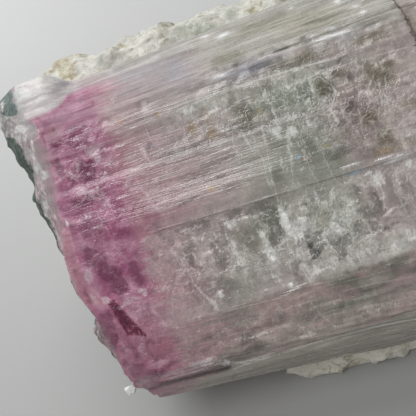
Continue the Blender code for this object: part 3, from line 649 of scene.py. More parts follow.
KNOTS = [  # whitish knots with a clear border
    (-93, 88, 6, 5.5, 0, 1.0), (-91, 80, 4, 4.5, 0, 0.8), (-124, -58, 3, 3, 0, 0.9), (-134, -30, 4.5, 6, 0, 0.7), (-88, -60, 5, 3.5, -40, 0.7), (-100, 50, 3, 3, 20, 0.7), (-113, 52, 8, 2.4, -16, 0.8), (-104, -67, 9, 1.8, 4, 0.8),
    (-121, 72, 1.8, 7, 30, 0.7), (-111, 76, 1.8, 6, -25, 0.6), (-82, -82, 1.8, 8, 12, 0.6), (-76, -78, 5, 1.8, 0, 0.5), (-52, -146, 10, 3.6, 0, 0.6), (-84, -148, 10, 2.0, 0, 0.5), (-84, 92, 4, 2, 0, 0.6),
    (-90, 62, 2.2, 4, -30, 0.6), (-80, 72, 3, 2.4, 20, 0.5), (-70, 48, 2.2, 5, -30, 0.5), (-106, 46, 2, 5, 10, 0.5), (-96, 38, 2, 7, 12, 0.55), (-118, 56, 4, 1.8, 0, 0.5), (-114, -148, 6, 1.8, 0, 0.5),
    (-146, 79, 3.6, 4, 0, 0.9), (-156, 130, 4.5, 4.5, 0, 0.7), (-152, 88, 3, 5, 0, 0.5), (-154, 50, 3, 5, 0, 0.5), (-149, 110, 2, 6, 0, 0.4), (-154, 100, 2, 3, 0, 0.4), (-136, -52, 2.4, 6, 18, 0.5), (-128, -22, 3, 2, 0, 0.4),
    (46, -64, 3, 5, 0, 0.6), (84, -44, 4, 3, 30, 0.7), (57, -98, 3, 2.4, 0, 0.7), (9, 100, 7, 3, 0, 0.5), (104, 50, 4, 4, 0, 0.6), (88, 54, 5, 3, 10, 0.5), (118, -60, 4, 2, 0, 0.6), (106, -24, 2, 4, 0, 0.6),
    (-14, -86, 2.4, 3, 0, 0.7), (17, -22, 5, 3.4, 0, 0.5), (168, -22, 3, 6, 10, 0.5), (134, 88, 1.8, 6, 0, 0.6), (122, 54, 2, 5, 0, 0.5), (170, -90, 8, 3, 0, 0.4), (72, -34, 3, 12, 2, 0.5), (78, -60, 2, 10, 12, 0.5),
]
# painted glints: highlights on the ridge, the step edges and small facets, painted as spots where the base colour turns
# near white
PAINTED_GLINTS = [(-139, 26, 2.0, 3.4, 0, 1.0), (-119, 26, 1.8, 1.6, 0, 0.9), (-116, 25, 1.3, 1.2, 0, 0.8), (65, 161, 8, 2.2, 8, 1.0), (48, 165, 5, 1.6, 0, 0.9), (52, 122, 9, 2.4, 0, 0.9), (168, 128, 20, 2.2, 0, 1.0), (171, 135, 5, 2.2, 0, 0.9),
          (184, 160, 4, 2.4, 0, 0.9), (150, 135, 4, 1.8, 0, 0.5), (183, -4, 9, 1.4, 0, 1.0), (194, -9, 16, 1.6, 2, 1.0), (150, -1, 12, 1.2, 3, 0.7), (164, -14, 5, 1.6, 10, 0.8), (200, -6, 3, 1.6, 0, 1.0),
          (48, -69, 2.4, 1.8, 0, 1.0), (57, -98, 1.8, 1.4, 0, 1.0), (-13, -86, 2, 2, 0, 0.7), (-145, 79, 3, 3, 0, 0.8), (107, -19, 2, 2, 0, 0.8), (117, -47, 2.2, 2.2, 0, 0.7), (205, -19, 2.4, 2.4, 0, 0.9),
          (-54, 162, 4, 3, 0, 0.9), (-5, 160, 6, 1.6, 0, 0.5), (138, 167, 4, 2, 0, 0.6), (200, 150, 6, 1.8, 0, 0.8), (206, 142, 4, 3, 0, 0.7), (-42, 40, 2, 2, 0, 0.7), (118, -60, 2.2, 2, 0, 0.9)]
OCHRE = [(9, 80, 5, 8, -10, 0.9), (26, 69, 5.5, 7, 0, 0.8), (24, 88, 5, 8, 10, 0.4), (186, 3, 12, 4.2, 0, 1.0), (204, 4, 12, 5, 0, 0.55), (-22, 103, 3, 2.5, 0, 0.9), (-58, 109, 2.6, 2.4, 0, 0.9)]
OLIVE = [(60, 78, 10, 12, 0, 0.6), (128, 116, 30, 6, 0, 0.7), (205, 78, 16, 14, 0, 0.7), (146, 82, 6, 12, 28, 0.55), (183, 40, 12, 7, 0, 0.6), (190, 16, 8, 8, 0, 0.6), (108, -43, 6, 8, 0, 0.4), (150, 150, 30, 12, 0, 0.35),
         (110, 160, 40, 8, 0, 0.3), (205, 116, 20, 5, 0, 0.6), (165, 89, 8, 5, 0, 0.5), (28, -44, 11, 16, 0, 0.4), (62, 137, 18, 6, 0, 0.5), (225, 40, 14, 6, 0, 0.5)]


def paint_crystal(me, P, Q, X, W, cap_of, deep, kinds):
    front, upper, lower, blocky = kinds.T
    s0, p0 = on_plane(P, Q, X)
    far = ramp(Q, 7.0, 12.0)                       # the sides that these features don't reach
    near = 1 - far
    big = fbm(s0 / 34, p0 / 24, 0.4, 3, 201)
    big2 = fbm(s0 / 22, p0 / 15, 4.4, 3, 205)
    # broken places shift whatever lies in them cell by cell; elsewhere edges only waver
    rough_zone = spots(s0, p0, [(112, 84, 64, 30, 0, 1.0), (176, 60, 74, 62, 0, 0.8), (16, 84, 50, 26, 0, 0.6), (100, -52, 84, 48, 0, 1.0), (-10, -54, 80, 46, 0, 0.9),
                                (-112, 40, 30, 88, 0, 0.9), (-104, -84, 30, 74, 0, 0.9), (140, -146, 100, 9, 0, 0.7)], 4.0)
    shard = cells((s0 + 0.25 * p0) / 9.5, (p0 - 0.1 * s0) / 12, 257)
    sliver = cells((s0 - 0.2 * p0) / 4.6, p0 / 6.5, 259)
    smooth = 1 - 0.6 * rough_zone
    s = s0 + smooth * (3.0 * fbm(s0 / 8, p0 / 8, Q / 2, 2, 211) + 2.4 * fbm(s0 / 3.4, p0 / 3.4, Q / 2, 2, 213)) + rough_zone * (2.2 * shard[1] + 1.4 * sliver[1])
    p = p0 + smooth * (2.6 * fbm(s0 / 8, p0 / 8, Q / 2 + 9, 2, 215) + 2.2 * fbm(s0 / 3.6, p0 / 3.4, Q / 2 + 9, 2, 217)) + rough_zone * (2.0 * shard[2] + 1.2 * sliver[2])
    tip, root = cap_of == 1, cap_of == 2

    # ---- body: lavender grey, greener towards the right, browner below
    colour = np.tile(seen(169, 159, 155), (len(s), 1))
    green = spots(s, p, [(105, 20, 62, 55, 0, 0.78), (110, 84, 55, 26, 0, 1.0), (60, -30, 32, 34, 0, 0.8), (118, -44, 40, 34, 0, 0.9), (112, -120, 32, 22, 0, 0.8), (170, -112, 20, 14, 0, 0.7),
                         (0, -84, 26, 20, 0, 0.55), (170, 90, 80, 20, 0, 0.35), (210, 150, 80, 30, 0, 0.5)], 2.4)
    green = np.maximum(green * near, far * ramp(big2, -0.25, 0.25) * 0.7)
    colour = blend(colour, seen(130, 136, 121), green * (1.0 + 0.5 * big))
    colour = blend(colour, seen(160, 141, 140), near * spots(s, p, [(-10, 26, 50, 50, 0, 0.8), (172, 40, 22, 60, 0, 0.7), (215, 66, 30, 34, 0, 0.45), (158, -50, 22, 34, 0, 0.5), (20, -10, 40, 14, 0, 0.4), (-30, -60, 34, 50, 0, 0.5), (222, 100, 30, 14, 0, 0.5)], 2.4))
    colour = blend(colour, seen(172, 158, 158), near * spots(s, p, [(-14, 84, 34, 36, 0, 0.3), (-20, 10, 30, 14, 0, 0.4)], 2.4))
    colour = blend(colour, seen(178, 177, 168), near * spots(s, p, [(112, -52, 40, 34, 0, 0.75), (36, -56, 26, 26, 0, 0.5), (118, -92, 44, 12, 0, 0.3), (168, -90, 24, 13, 0, 0.7), (112, 96, 40, 10, 0, 0.4), (118, -40, 17, 14, 0, 1.0), (40, 101, 40, 8, 0, 0.9)], 2.6))
    colour = blend(colour, seen(130, 117, 112), near * spots(s, p, [(166, 44, 24, 36, 0, 0.75)], 2.6))
    low = near * ramp(p + 5 * big, -101, -106) * ramp(s, -82, -40)
    colour = blend(colour, seen(132, 121, 116), low * 0.95)
    colour = blend(colour, seen(124, 123, 112), low * green * 0.9)
    colour = blend(colour, seen(148, 137, 130), low * ramp(p, -137, -142) * 0.8)
    colour = colour * (1 + low * (0.48 * fbm(s0 / 18, p0 / 5, 1.7, 3, 262) + 0.42 * fbm(s0 / 32, p0 / 14, 8.7, 2, 266) + 0.40 * fbm(s0 / 46, p0 / 1.9, 2.7, 2, 263)))[:, None]
    colour = blend(colour, seen(156, 134, 132), low * ramp(fbm(s0 / 26, p0 / 9, 5.1, 2, 264), 0.05, 0.3) * 0.7)
    under = near * ramp(p0, -157.5, -160.5) + lower * 0.0
    colour = blend(colour, seen(146, 141, 132), under * 0.9)
    top = near * ramp(p0, 126, 132)
    colour = blend(colour, seen(140, 130, 130), top * ramp(s, 60, 10))
    colour = blend(colour, seen(148, 145, 136), top * ramp(s, 10, 70))
    colour = blend(colour, seen(174, 173, 166), top * ramp(p0, 150, 160) * (0.55 + 0.5 * big))
    colour = blend(colour, seen(126, 116, 115), near * threads(s0, p0, [(0.75, 7.0, [(-60, 126), (-20, 125), (30, 124)])]))
    colour = blend(colour, seen(140, 142, 152), near * spots(s, p, [(84, 121, 34, 7, 0, 0.75), (8, 140, 14, 12, 0, 0.4), (186, 121, 6, 5, 0, 0.5), (-26, 150, 30, 5, 0, 0.3)]))
    ledge = threads(s0, p0 + 1.2 * fbm(s0 / 9, 0.0, 0.3, 2, 270), [(1.0, 7.0, [(-46, 60), (10, 60), (50, 62), (84, 62)])])
    colour = blend(colour, seen(118, 108, 104), near * ledge * 0.75)
    colour = blend(colour, seen(120, 111, 84), near * spots(s, p, OLIVE, 2.8) * 1.05)
    colour = blend(colour, seen(138, 118, 90), near * spots(s, p, OCHRE, 3.0) * 0.85)
    # small coloured flecks: the blue and red ones are painted iridescent glints of thin cracks; the gold ones are small
    # yellow spots
    for tone_of, rows in ((seen(150, 180, 196), [(102, 22, 2.2, 1.8, 0, 1.0), (152, -9, 7, 1.4, 0, 0.9), (-36, 76, 6, 1.6, 10, 0.5)]), (seen(182, 112, 92), [(106, 20, 1.6, 1.6, 0, 0.8)]),
                          (seen(196, 160, 96), [(-58, 109, 2.0, 1.8, 0, 0.9), (9, 17, 4, 3, 0, 0.5), (130, 25, 3, 2, 0, 0.5), (-20, 104, 3, 2, 0, 0.6), (78, 78, 2, 2, 0, 0.6)])):
        colour = blend(colour, tone_of, near * spots(s0, p0, rows))

    # ---- the pink end
    edge = np.interp(p0, [-170, -158, -132, -108, -96, -84, -70, -62, -50, -30, -12, 0, 13, 40, 50, 80, 112, 126, 149, 162, 175],
                     [-100, -92, -60, -66, -70, -66, -64, -68, -72, -71, -64, -52, -50, -56, -58, -60, -70, -66, -58, -72, -100])
    drawn = 22 * fbm(s0 / 60, p0 / 2.3, 0.2, 3, 221) + 10 * fbm(s0 / 14, p0 / 9, 3.2, 2, 223)
    pink = ramp(s0, edge + 20 + drawn, edge - 14 + drawn * 0.6)
    blush = 0.55 * ramp(s0, edge + 60 + 2 * drawn, edge + 4 + drawn)
    pink = np.maximum(pink, blush * near * ramp(p0, 150, 120))
    silver = ramp(p0 - np.interp(s0, [-145, -115, -100, -60], [136, 140, 149, 153]), -2, 4) * ramp(s0, -84, -100)       # the whitish shoulder above the pink
    pink = pink * (1 - 0.9 * silver) * (1 - 0.8 * ramp(p0, 146, 155)) * (1 - far)
    hidden_pink = far * ramp(X, -7.6 + 2.0 * big, -11.5 + 2.0 * big) * 0.85
    tone = fbm(s0 / 12, p0 / 9, 8.8, 3, 225)
    rose = blend(np.tile(seen(158, 96, 124), (len(s), 1)), seen(178, 130, 150), ramp(tone, -0.02, 0.3) * 0.7)
    rose = blend(rose, seen(134, 74, 104), ramp(tone, 0.02, -0.3) * 0.6 * ramp(s0, -70, -92))
    rose = blend(rose, seen(165, 127, 132), ramp(s0, -88, -62) * 0.8)
    rose = blend(rose, seen(152, 110, 120), ramp(p0, -50, -90) * 0.5)
    rose = blend(rose, seen(116, 56, 84), spots(s, p, [row for row in DEEP_PINK if row[5] < 0.65], 3.0) * 0.8)
    level, amount = windows(s, p, [row for row in DEEP_PINK if row[5] >= 0.65])
    rose = blend(rose, seen(122, 60, 90), ramp(level, -2.4, 2.0) * amount * 0.35)
    inside = facet_of(s0 + 0.5 * fbm(s0 / 3, p0 / 3, 0.3, 2, 258), p0, WEDGE)
    wedge = ramp(inside, -0.8, 1.2)
    rose = blend(rose, blend(np.tile(seen(134, 44, 80), (len(s), 1)), seen(158, 80, 110), ramp(s0 + 0.45 * p0, -148, -156) * ramp(p0, -96, -66)), ramp(inside, -1.5, 1.0) * 0.95)
    rose = blend(rose, seen(150, 104, 114), spots(s, p, [(-125, 115, 7, 8, 0, 0.8), (-78, 66, 12, 12, 0, 0.6), (-84, -116, 14, 13, 0, 0.5)], 3.0))
    rose = blend(rose, seen(198, 164, 176), spots(s, p, PALE_PINK, 2.2) * (0.75 + 0.8 * fbm(s0 / 2.6, p0 / 2.6, 2.2, 2, 227)))
    rose = rose * (1 - 0.30 * ramp(p0, 112, 122) * ramp(p0, 146, 138))[:, None]
    pale_band = ramp(s0 - np.interp(p0, [-62, -58, -44, -20, 20, 30], [-125, -127, -134, -139, -139, -146]), 1.2, -1.2) * ramp(p0, -66, -54) * ramp(p0, 34, 20)
    rose = blend(rose, seen(174, 126, 138), pale_band * (0.75 + 0.6 * tone + 0.5 * fbm(s0 / 2.4, p0 / 14, 0.6, 2, 260)))
    border = near * ramp(s0, edge, edge - 10) * hump(s0 - rim_x(P) / STEP, 2.5, 3.2) * (cap_of == 0)
    rose = blend(rose, seen(190, 150, 162), border * 0.5 * ramp(fbm(s0 / 3, p0 / 9, 0.9, 2, 267), -0.15, 0.2))
    colour = blend(colour, rose, np.clip(pink, 0, 1))
    colour = blend(colour, seen(158, 110, 130) * 0.95, hidden_pink)
    colour = blend(colour, seen(198, 193, 190), near * silver * (0.62 + 0.6 * big2))
    colour = blend(colour, seen(160, 150, 152), near * silver * ramp(fbm(s0 / 16, p0 / 3.2, 1.1, 3, 247), -0.05, 0.25) * 0.8)
    colour = blend(colour, seen(134, 126, 130), near * spots(s, p, [(-105, 160, 12, 5, 10, 0.8), (-128, 148, 8, 3, 0, 0.3)]))
    # painted shade: a dark line in the crevice under the ledge along the bottom edge, and a darker spot at its right
    # end
    slit_shade = threads(s0, p0, [(1.0, 2.6, [(-96, -155), (-62, -157), (-40, -157.5), (-26, -158)]), (0.7, 2.4, [(-120, -156), (-96, -156)])])
    colour = blend(colour, seen(74, 46, 54), near * slit_shade)
    colour = blend(colour, seen(60, 58, 58), near * spots(s0, p0, [(-31, -158, 6, 2.4, 0, 1.0)]))

    # ---- the tip: whitish above, pale pink below, and a dark green skin behind
    inward = s0 - silhouette(s0, p0)
    strip = blend(np.tile(seen(152, 143, 143), (len(s), 1)), seen(118, 114, 112), ramp(fbm(s0 / 3.4, p0 / 8, 0.8, 3, 231), -0.05, 0.25))
    strip = blend(strip, seen(150, 122, 134), ramp(fbm(s0 / 5, p0 / 7, 3.3, 3, 265), 0.02, 0.24) * 0.75)
    strip = blend(strip, seen(214, 212, 209), spots(s, p, [(-146, 79, 5, 5, 0, 1.0), (-156, 130, 6, 6, 0, 0.8), (-152, 88, 5, 7, 0, 0.5), (-154, 50, 4, 6, 0, 0.5), (-160, 120, 3, 6, 0, 0.4), (-146, 138, 14, 3, 0, 0.6), (-140, 150, 26, 6, 0, 0.7)]))
    strip = blend(strip, seen(176, 138, 150), np.maximum(ramp(p0, 40, 4), spots(s, p, [(-145, 100, 6, 14, 0, 0.5), (-150, 70, 6, 12, 0, 0.35)])))
    strip = blend(strip, seen(178, 138, 150), ramp(s0 - rim_x(P) / STEP, -10, -2) * 0.55 * ramp(p0, 128, 112))
    strip = blend(strip, seen(150, 106, 122), ramp(p0, -54, -72) * 0.85)
    strip = blend(strip, seen(92, 66, 72), spots(s, p, [(-141, -88, 7, 12, 0, 0.95)]))
    strip = blend(strip, seen(92, 86, 87), spots(s, p, [(-170, 132, 8, 10, 0, 0.95), (-160, 110, 4, 8, 0, 0.5)]))
    wide = np.interp(p0, [-160, -120, -60, 0, 10, 34, 60, 66, 72, 80, 92, 118, 126, 132, 142, 150, 175], [0.5, 0.6, 0.7, 1.2, 2.4, 4.0, 4.2, 3.0, 2.0, 4.5, 9.5, 10, 8, 2.0, 1.0, 3, 4])
    skin_level = np.maximum((wide - inward) * ramp(Q, 0.3, 1.0) - 4 * (1 - ramp(Q, 0.3, 1.0)), (Q - 5.6 - np.interp(p0, [60, 130], [0, 3.5])) * 3)
    skin_level = skin_level - 12 * spots(s0, p0, [(-172, 134, 9, 8, 0, 1.0)], 4.0)
    teal = spots(s, p, [(-155, 163, 9, 9, 0, 1.0), (-161, 151, 7, 7, 0, 1.0), (-150, 149, 6, 6, 0, 0.9), (-171, 164, 6, 8, 0, 0.75)], 3.0)
    skin_level = np.where(tip, np.maximum(skin_level, 12 * (teal - 0.45)), -8)
    skin_tint = blend(np.tile(seen(58, 70, 62), (len(s), 1)), seen(66, 80, 77), teal * 1.3)
    strip = blend(strip, seen(132, 140, 134), spots(s, p, [(-173, 152, 7, 10, 0, 0.9)], 3.0))
    on_rim = (cap_of == 0) & (np.arange(len(s)) < AROUND)
    tipped = np.where(on_rim, 0.85, tip * ramp(deep, 0.0, 0.2))
    colour = blend(colour, strip, tipped)
    colour = blend(colour, seen(118, 128, 126), near * (cap_of == 0) * spots(s, p, [(-150, 163, 6, 7, 0, 0.7), (-150, 149, 5, 5, 0, 0.5)]))
    colour = blend(colour, seen(146, 136, 128), near * (cap_of == 0) * ramp(s0 - np.interp(p0, [90, 126, 150], [247, 241, 239]), -1, 2) * ramp(p0, 60, 90))

    # ---- facets of broken places, each with a slope of shade
    shade = 0.55 * shard[0] + 1.1 * (shard[3] * shard[1] + shard[4] * shard[2]) + 0.45 * sliver[0] + 0.6 * (sliver[3] * sliver[1] + sliver[4] * sliver[2])
    colour = colour * (1 + (0.12 + 0.18 * ramp(s0, 140, 175)) * shade * rough_zone * near * (cap_of == 0))[:, None]

    # ---- the broken root and the hidden sides
    chips = cells(P / 2.4, Q / 2.0, 241)
    broken = blend(np.tile(seen(184, 182, 176), (len(s), 1)), seen(194, 188, 186), ramp(chips[0], -0.2, 0.6))
    broken = blend(broken, seen(158, 168, 154), ramp(chips[1], 0.1, 0.7) * 0.7)
    broken = blend(broken, seen(188, 164, 168), ramp(fbm(P / 5, Q / 5, 2.0, 2, 243), 0.05, 0.3) * 0.6)
    colour = blend(colour, broken, root.astype(float))
    colour = blend(colour, seen(120, 130, 118), far * (cap_of == 0) * ramp(fbm(W / 3.2, X / 9, 6.0, 3, 245), 0.05, 0.35) * 0.6)

    # ---- what the nodes read: how white, how clear, how streaked, how cracked
    veil = spots(s, p, VEIL, 2.2) * near * (1 - 0.9 * wedge)
    crack_off, crack = signed_lines(s0 + 1.6 * fbm(s0 / 5, p0 / 5, 0.4, 2, 255), p0 + 1.2 * fbm(s0 / 5, p0 / 5, 2.4, 2, 256), CRACKS)
    crack = crack * near * (1 - 0.9 * wedge) * (cap_of == 0)
    rand = cells((s0 + 0.28 * p0) / 15, (p0 - 0.1 * s0) / 24, 251)
    lean = rand[3] + 0.5 * rand[0]
    crackly = np.clip(spots(s, p, [(112, 84, 60, 28, 0, 1.0), (170, 60, 70, 60, 0, 0.8), (20, 84, 46, 24, 0, 0.55), (100, -50, 80, 52, 0, 1.0), (-18, -50, 76, 50, 0, 0.9), (-108, 40, 30, 84, 0, 0.75), (150, -146, 90, 10, 0, 0.5), (-100, -80, 30, 60, 0, 0.7), (20, -130, 160, 26, 0, 0.6), (215, -30, 40, 110, 0, 0.9), (-20, 10, 60, 50, 0, 0.25)], 3.0), 0, 1) * near
    crackly = np.maximum(crackly, far * (0.35 + 0.5 * ramp(big2, 0.0, 0.3)))
    crackly = np.where(cap_of == 0, crackly, np.where(root, 0.9, 0.75))
    veil = np.maximum(veil, crackly * 0.6 * ramp(rand[6] - rand[5], 0.16, 0.02) * ramp(rand[1], -0.3, 0.5))
    veil = np.maximum(veil, crackly * 0.45 * ramp(lean, 0.12, 0.5) * ramp(rand[2], 0.0, 0.6))
    veil = np.where(tip, 0.40, np.where(root, 0.6 * ramp(chips[6] - chips[5], 0.2, 0.0), veil))
    # clear and the windows: mostly windows into the crystal, plus painted shade from the crevice rows of DARK along the
    # bottom edge
    clear = near * spots(s, p, [row for row in DARK if row[5] < 0.45], 4.0)
    window_and_crevice_shade, window_and_crevice_shade_amount = windows(s, p, [row for row in DARK if row[5] >= 0.45])
    window_and_crevice_shade_amount = np.where(window_and_crevice_shade_amount > 1.0, 0.9, 0.62) * window_and_crevice_shade_amount
    rosy, rosy_amount = windows(s, p, [row for row in DEEP_PINK if row[5] >= 0.65])
    window_and_crevice_shade, window_and_crevice_shade_amount = np.where(rosy > window_and_crevice_shade, rosy, window_and_crevice_shade), np.where(rosy > window_and_crevice_shade, 0.46 * rosy_amount, window_and_crevice_shade_amount)
    window_and_crevice_shade, window_and_crevice_shade_amount = np.where(inside > window_and_crevice_shade, inside, window_and_crevice_shade), np.where(inside > window_and_crevice_shade, 0.85, window_and_crevice_shade_amount)
    window_and_crevice_shade_amount = np.where(cap_of == 0, near * window_and_crevice_shade_amount, 0)
    knot, knot_amount = windows(s, p, KNOTS)
    clear = np.maximum(clear, crackly * 0.35 * ramp(lean, -0.1, -0.5) * ramp(rand[2], 0.1, -0.5))
    clear = np.where(cap_of == 0, clear, np.where(root, 0.25 * ramp(chips[2], 0.1, 0.6), 0))
    clear = np.maximum(clear * (1 - 0.6 * np.clip(pink, 0, 1) * near), 0 * wedge)
    matte = np.where(cap_of == 0, ramp(s0, -110, -145) * 0.5 + 0.6 * hump(s0 - rim_x(P) / STEP, 0, 3.0) + near * ramp(p0, 112, 122) * (0.25 + 0.5 * ramp(s0, 40, -20)), 0.6)
    streaky = np.where(cap_of == 0, 0.55 + 0.45 * (upper + lower + far) - 0.35 * crackly * near + 0.45 * near * ramp(p0, -101, -106), 0.0)
    streaky = streaky * (1 - 0.6 * np.clip(pink, 0, 1) * ramp(s0, -70, -90) * near * ramp(p0, 128, 122))
    streaky = streaky + near * 0.22 * ramp(p0, -4, 2) * ramp(p0, 56, 50) * (cap_of == 0)
    streaky = streaky * (1 - 0.6 * near * silver)
    # pale: lines along the step edges and the ridge, mostly painted highlights
    pale_off, pale = signed_lines(s0, p0 + 0.8 * fbm(s0 / 12, 0.0, 0.0, 2, 253), EDGE_HIGHLIGHTS)
    pale = near * pale * (cap_of == 0)
    # painted glints: near white in the base colour at these spots, which are also made smoother and bumped
    glint_paint_and_gloss = near * spots(s0, p0, PAINTED_GLINTS, 2.0) * ramp(Q, 6.6, 5.0)
    put(me, "rock", np.stack([X, W, np.where(cap_of > 0, Q, 0)], 1))
    put(me, "tint", colour)
    put(me, "veil", np.clip(veil, 0, 1.2))
    put(me, "clear", np.clip(clear, 0, 1.2))
    put(me, "streaky", np.clip(streaky, 0, 1.2))
    put(me, "crackly", crackly)
    put(me, "pale", pale)
    put(me, "pale_off", pale_off)
    put(me, "crack", crack)
    put(me, "crack_off", crack_off)
    put(me, "window_and_crevice_shade", window_and_crevice_shade)
    put(me, "knot", knot)
    put(me, "knot_amount", near * knot_amount)
    put(me, "window_and_crevice_shade_amount", window_and_crevice_shade_amount)
    put(me, "glint_paint_and_gloss", glint_paint_and_gloss)
    put(me, "matte", np.clip(matte, 0, 1))
    put(me, "skin_level", np.clip(np.where(on_rim, -2, skin_level), -8, 8))
    put(me, "skin_tint", skin_tint)
    put(me, "tip", tipped)
    put(me, "pink", np.clip(np.maximum(pink * near, hidden_pink) * (1 - tipped), 0, 1))
    put(me, "upper", upper)


def crystal_material():
    mat = bpy.data.materials.new("tourmaline")
    n = Nodes(mat)
    rock = n.attr("rock", "Vector")
    tint = n.attr("tint", "Vector")
    veil, clear, streaky, crackly, pale, glint_paint_and_gloss, pink, upper, matte, tip = (n.attr(k) for k in ("veil", "clear", "streaky", "crackly", "pale", "glint_paint_and_gloss", "pink", "upper", "matte", "tip"))
    pale_off, crack, crack_off, window_and_crevice_shade, window_and_crevice_shade_amount = (n.attr(k) for k in ("pale_off", "crack", "crack_off", "window_and_crevice_shade", "window_and_crevice_shade_amount"))
    knot, knot_amount = n.attr("knot"), n.attr("knot_amount")

    def less(a, b):
        return n.math("SUBTRACT", a, b)

    def times(*v):
        out = v[0]
        for k in v[1:]:
            out = n.math("MULTIPLY", out, k)
        return out

    def plus(*v):
        out = v[0]
        for k in v[1:]:
            out = n.math("ADD", out, k)
        return out

    def most(*v):
        out = v[0]
        for k in v[1:]:
            out = n.math("MAXIMUM", out, k)
        return out

    def ragged(vec, scale, size, offset=(0.0, 0.0, 0.0), detail=2.0):
        """vec pushed about by noise of that scale, by up to half of size."""
        push = n.noise(n.scaled(vec, (1, 1, 1), offset), scale, detail, 0.5, 0.0, True)
        return n.vadd(vec, n.scaled(push, (size,) * 3, (-size / 2,) * 3))

    drift = n.noise(n.scaled(rock, (0.08, 0.25, 0.25)), 1.0, 2.0, 0.5, 0.0, True)
    bent = n.vadd(rock, n.scaled(drift, (0.5, 0.24, 0.2), (-0.25, -0.12, -0.1)))
    # long lines along the axis, at three widths
    lines1 = n.noise(n.scaled(bent, (0.10, 1.25, 1.6)), 1.0, 2.0, 0.55)
    lines2 = n.noise(n.scaled(bent, (0.17, 3.2, 3.6), (7, 3, 1)), 1.0, 2.0, 0.6)
    lines3 = n.noise(n.scaled(bent, (0.34, 6.5, 6.5), (1, 9, 4)), 1.0, 1.0, 0.5)
    # fringes across the axis, leaning one way and the other
    torn = ragged(rock, 0.8, 1.1, (3.0, 1.0, 2.0), 2.0)
    fringe1 = n.noise(n.scaled(n.vadd(torn, (0.0, 0.0, 0.0)), (3.6, 0.62, 1.2)), 1.0, 3.0, 0.6)
    fringe2 = n.noise(n.scaled(torn, (2.0, 0.40, 0.9), (4, 2, 7)), 1.0, 3.0, 0.62)
    # a net of short cracks
    net_at = ragged(rock, 1.0, 0.9, (8.0, 4.0, 1.0), 2.0)
    net = n.voronoi(n.scaled(net_at, (0.85, 0.60, 0.8)), 1.0, "DISTANCE_TO_EDGE", "Distance", 1.0)
    net2 = n.voronoi(n.scaled(net_at, (1.9, 1.3, 1.7), (5, 3, 2)), 1.0, "DISTANCE_TO_EDGE", "Distance", 1.0)
    speck = n.noise(rock, 3.4, 2.0, 0.55)
    cloud = n.noise(n.scaled(rock, (0.9, 1.1, 1.1), (2, 4, 6)), 1.0, 3.0, 0.6)
    fine = n.noise(n.scaled(rock, (1, 1, 1), (5, 8, 3)), 7.5, 2.0, 0.6)
    jag = n.noise(n.scaled(rock, (2.2, 2.2, 2.2), (1, 6, 2)), 1.0, 2.0, 0.5)

    # broken facets: every cell of the nets takes its own shade
    def shade_of(vec, scale, offset):
        split = n.add("ShaderNodeSeparateXYZ")
        n.plug(split.inputs[0], n.voronoi(n.scaled(vec, scale, offset), 1.0, "F1", "Color", 1.0))
        return less(split.outputs[0], 0.5)
    facet = plus(times(shade_of(net_at, (0.85, 0.60, 0.8), (0, 0, 0)), 0.20), times(shade_of(net_at, (1.9, 1.3, 1.7), (5, 3, 2)), 0.20), times(shade_of(rock, (4.6, 3.4, 4.0), (2, 1, 5)), 0.22))

    # white: veils frayed by the fringes, the net, and the thin pale edges
    fray = plus(times(fringe1, 0.60), times(fringe2, 0.40), times(less(speck, 0.5), 0.35))
    white = n.fit(plus(fray, times(veil, 0.42)), 0.60, 0.84)
    white = times(white, n.fit(veil, 0.02, 0.5))
    wisps = times(n.fit(plus(fringe2, times(less(cloud, 0.5), 0.5)), 0.56, 0.74), n.fit(crackly, 0.1, 0.9), 0.55)
    cracks = times(most(times(n.fit(net, 0.055, 0.0), 0.75), times(n.fit(net2, 0.06, 0.0), 0.45)), n.fit(cloud, 0.42, 0.60), n.fit(crackly, 0.15, 0.8), 0.8)
    # the placed cracks: a thin bright line with a frayed halo; the edges of the steps and the ridge: a thin pale line,
    # mostly a painted highlight
    off = n.math("ABSOLUTE", plus(crack_off, times(less(jag, 0.5), 3.2)))
    placed = most(times(n.fit(off, 0.85, 0.2), n.fit(plus(times(cloud, 0.5), times(fine, 0.5)), 0.40, 0.56, 0.25, 1.0), 0.85), times(n.fit(off, 4.0, 0.0), n.fit(fray, 0.46, 0.66), 0.6))
    edge_off = n.math("ABSOLUTE", plus(pale_off, times(less(jag, 0.5), 0.9)))
    stepped = times(pale, n.fit(edge_off, 1.25, 0.3), n.fit(plus(lines2, times(speck, 0.5)), 0.55, 0.85, 0.30, 1.0))
    white = most(times(white, less(1.0, times(pink, 0.30))), times(wisps, less(1.0, times(pink, 0.45))), cracks, times(placed, crack, 1.3), stepped)
    knots = times(knot_amount, n.fit(plus(knot, times(less(jag, 0.5), 3.4), times(less(fine, 0.5), 2.6)), -0.9, 0.9), n.fit(plus(times(cloud, 0.5), times(fine, 0.5)), 0.36, 0.54, 0.6, 1.0))
    white = most(white, times(n.fit(lines2, 0.56, 0.70), n.fit(streaky, 0.2, 1.0), less(0.34, most(times(upper, 0.16), times(pink, 0.20)))))
    # dark: windows into the crystal, and painted shade in the crevice along the bottom edge
    dark = times(clear, n.fit(plus(cloud, times(less(speck, 0.5), 0.4)), 0.30, 0.52, 0.62, 1.0))
    inner_edge = n.fit(plus(window_and_crevice_shade, times(less(jag, 0.5), 5.5), times(less(fine, 0.5), 2.6)), -0.9, 1.1)
    dark = most(dark, times(window_and_crevice_shade_amount, inner_edge, n.fit(plus(cloud, times(less(speck, 0.5), 0.4)), 0.30, 0.52, 0.74, 1.0)))
    dark = times(dark, less(1.0, times(white, 0.85)))

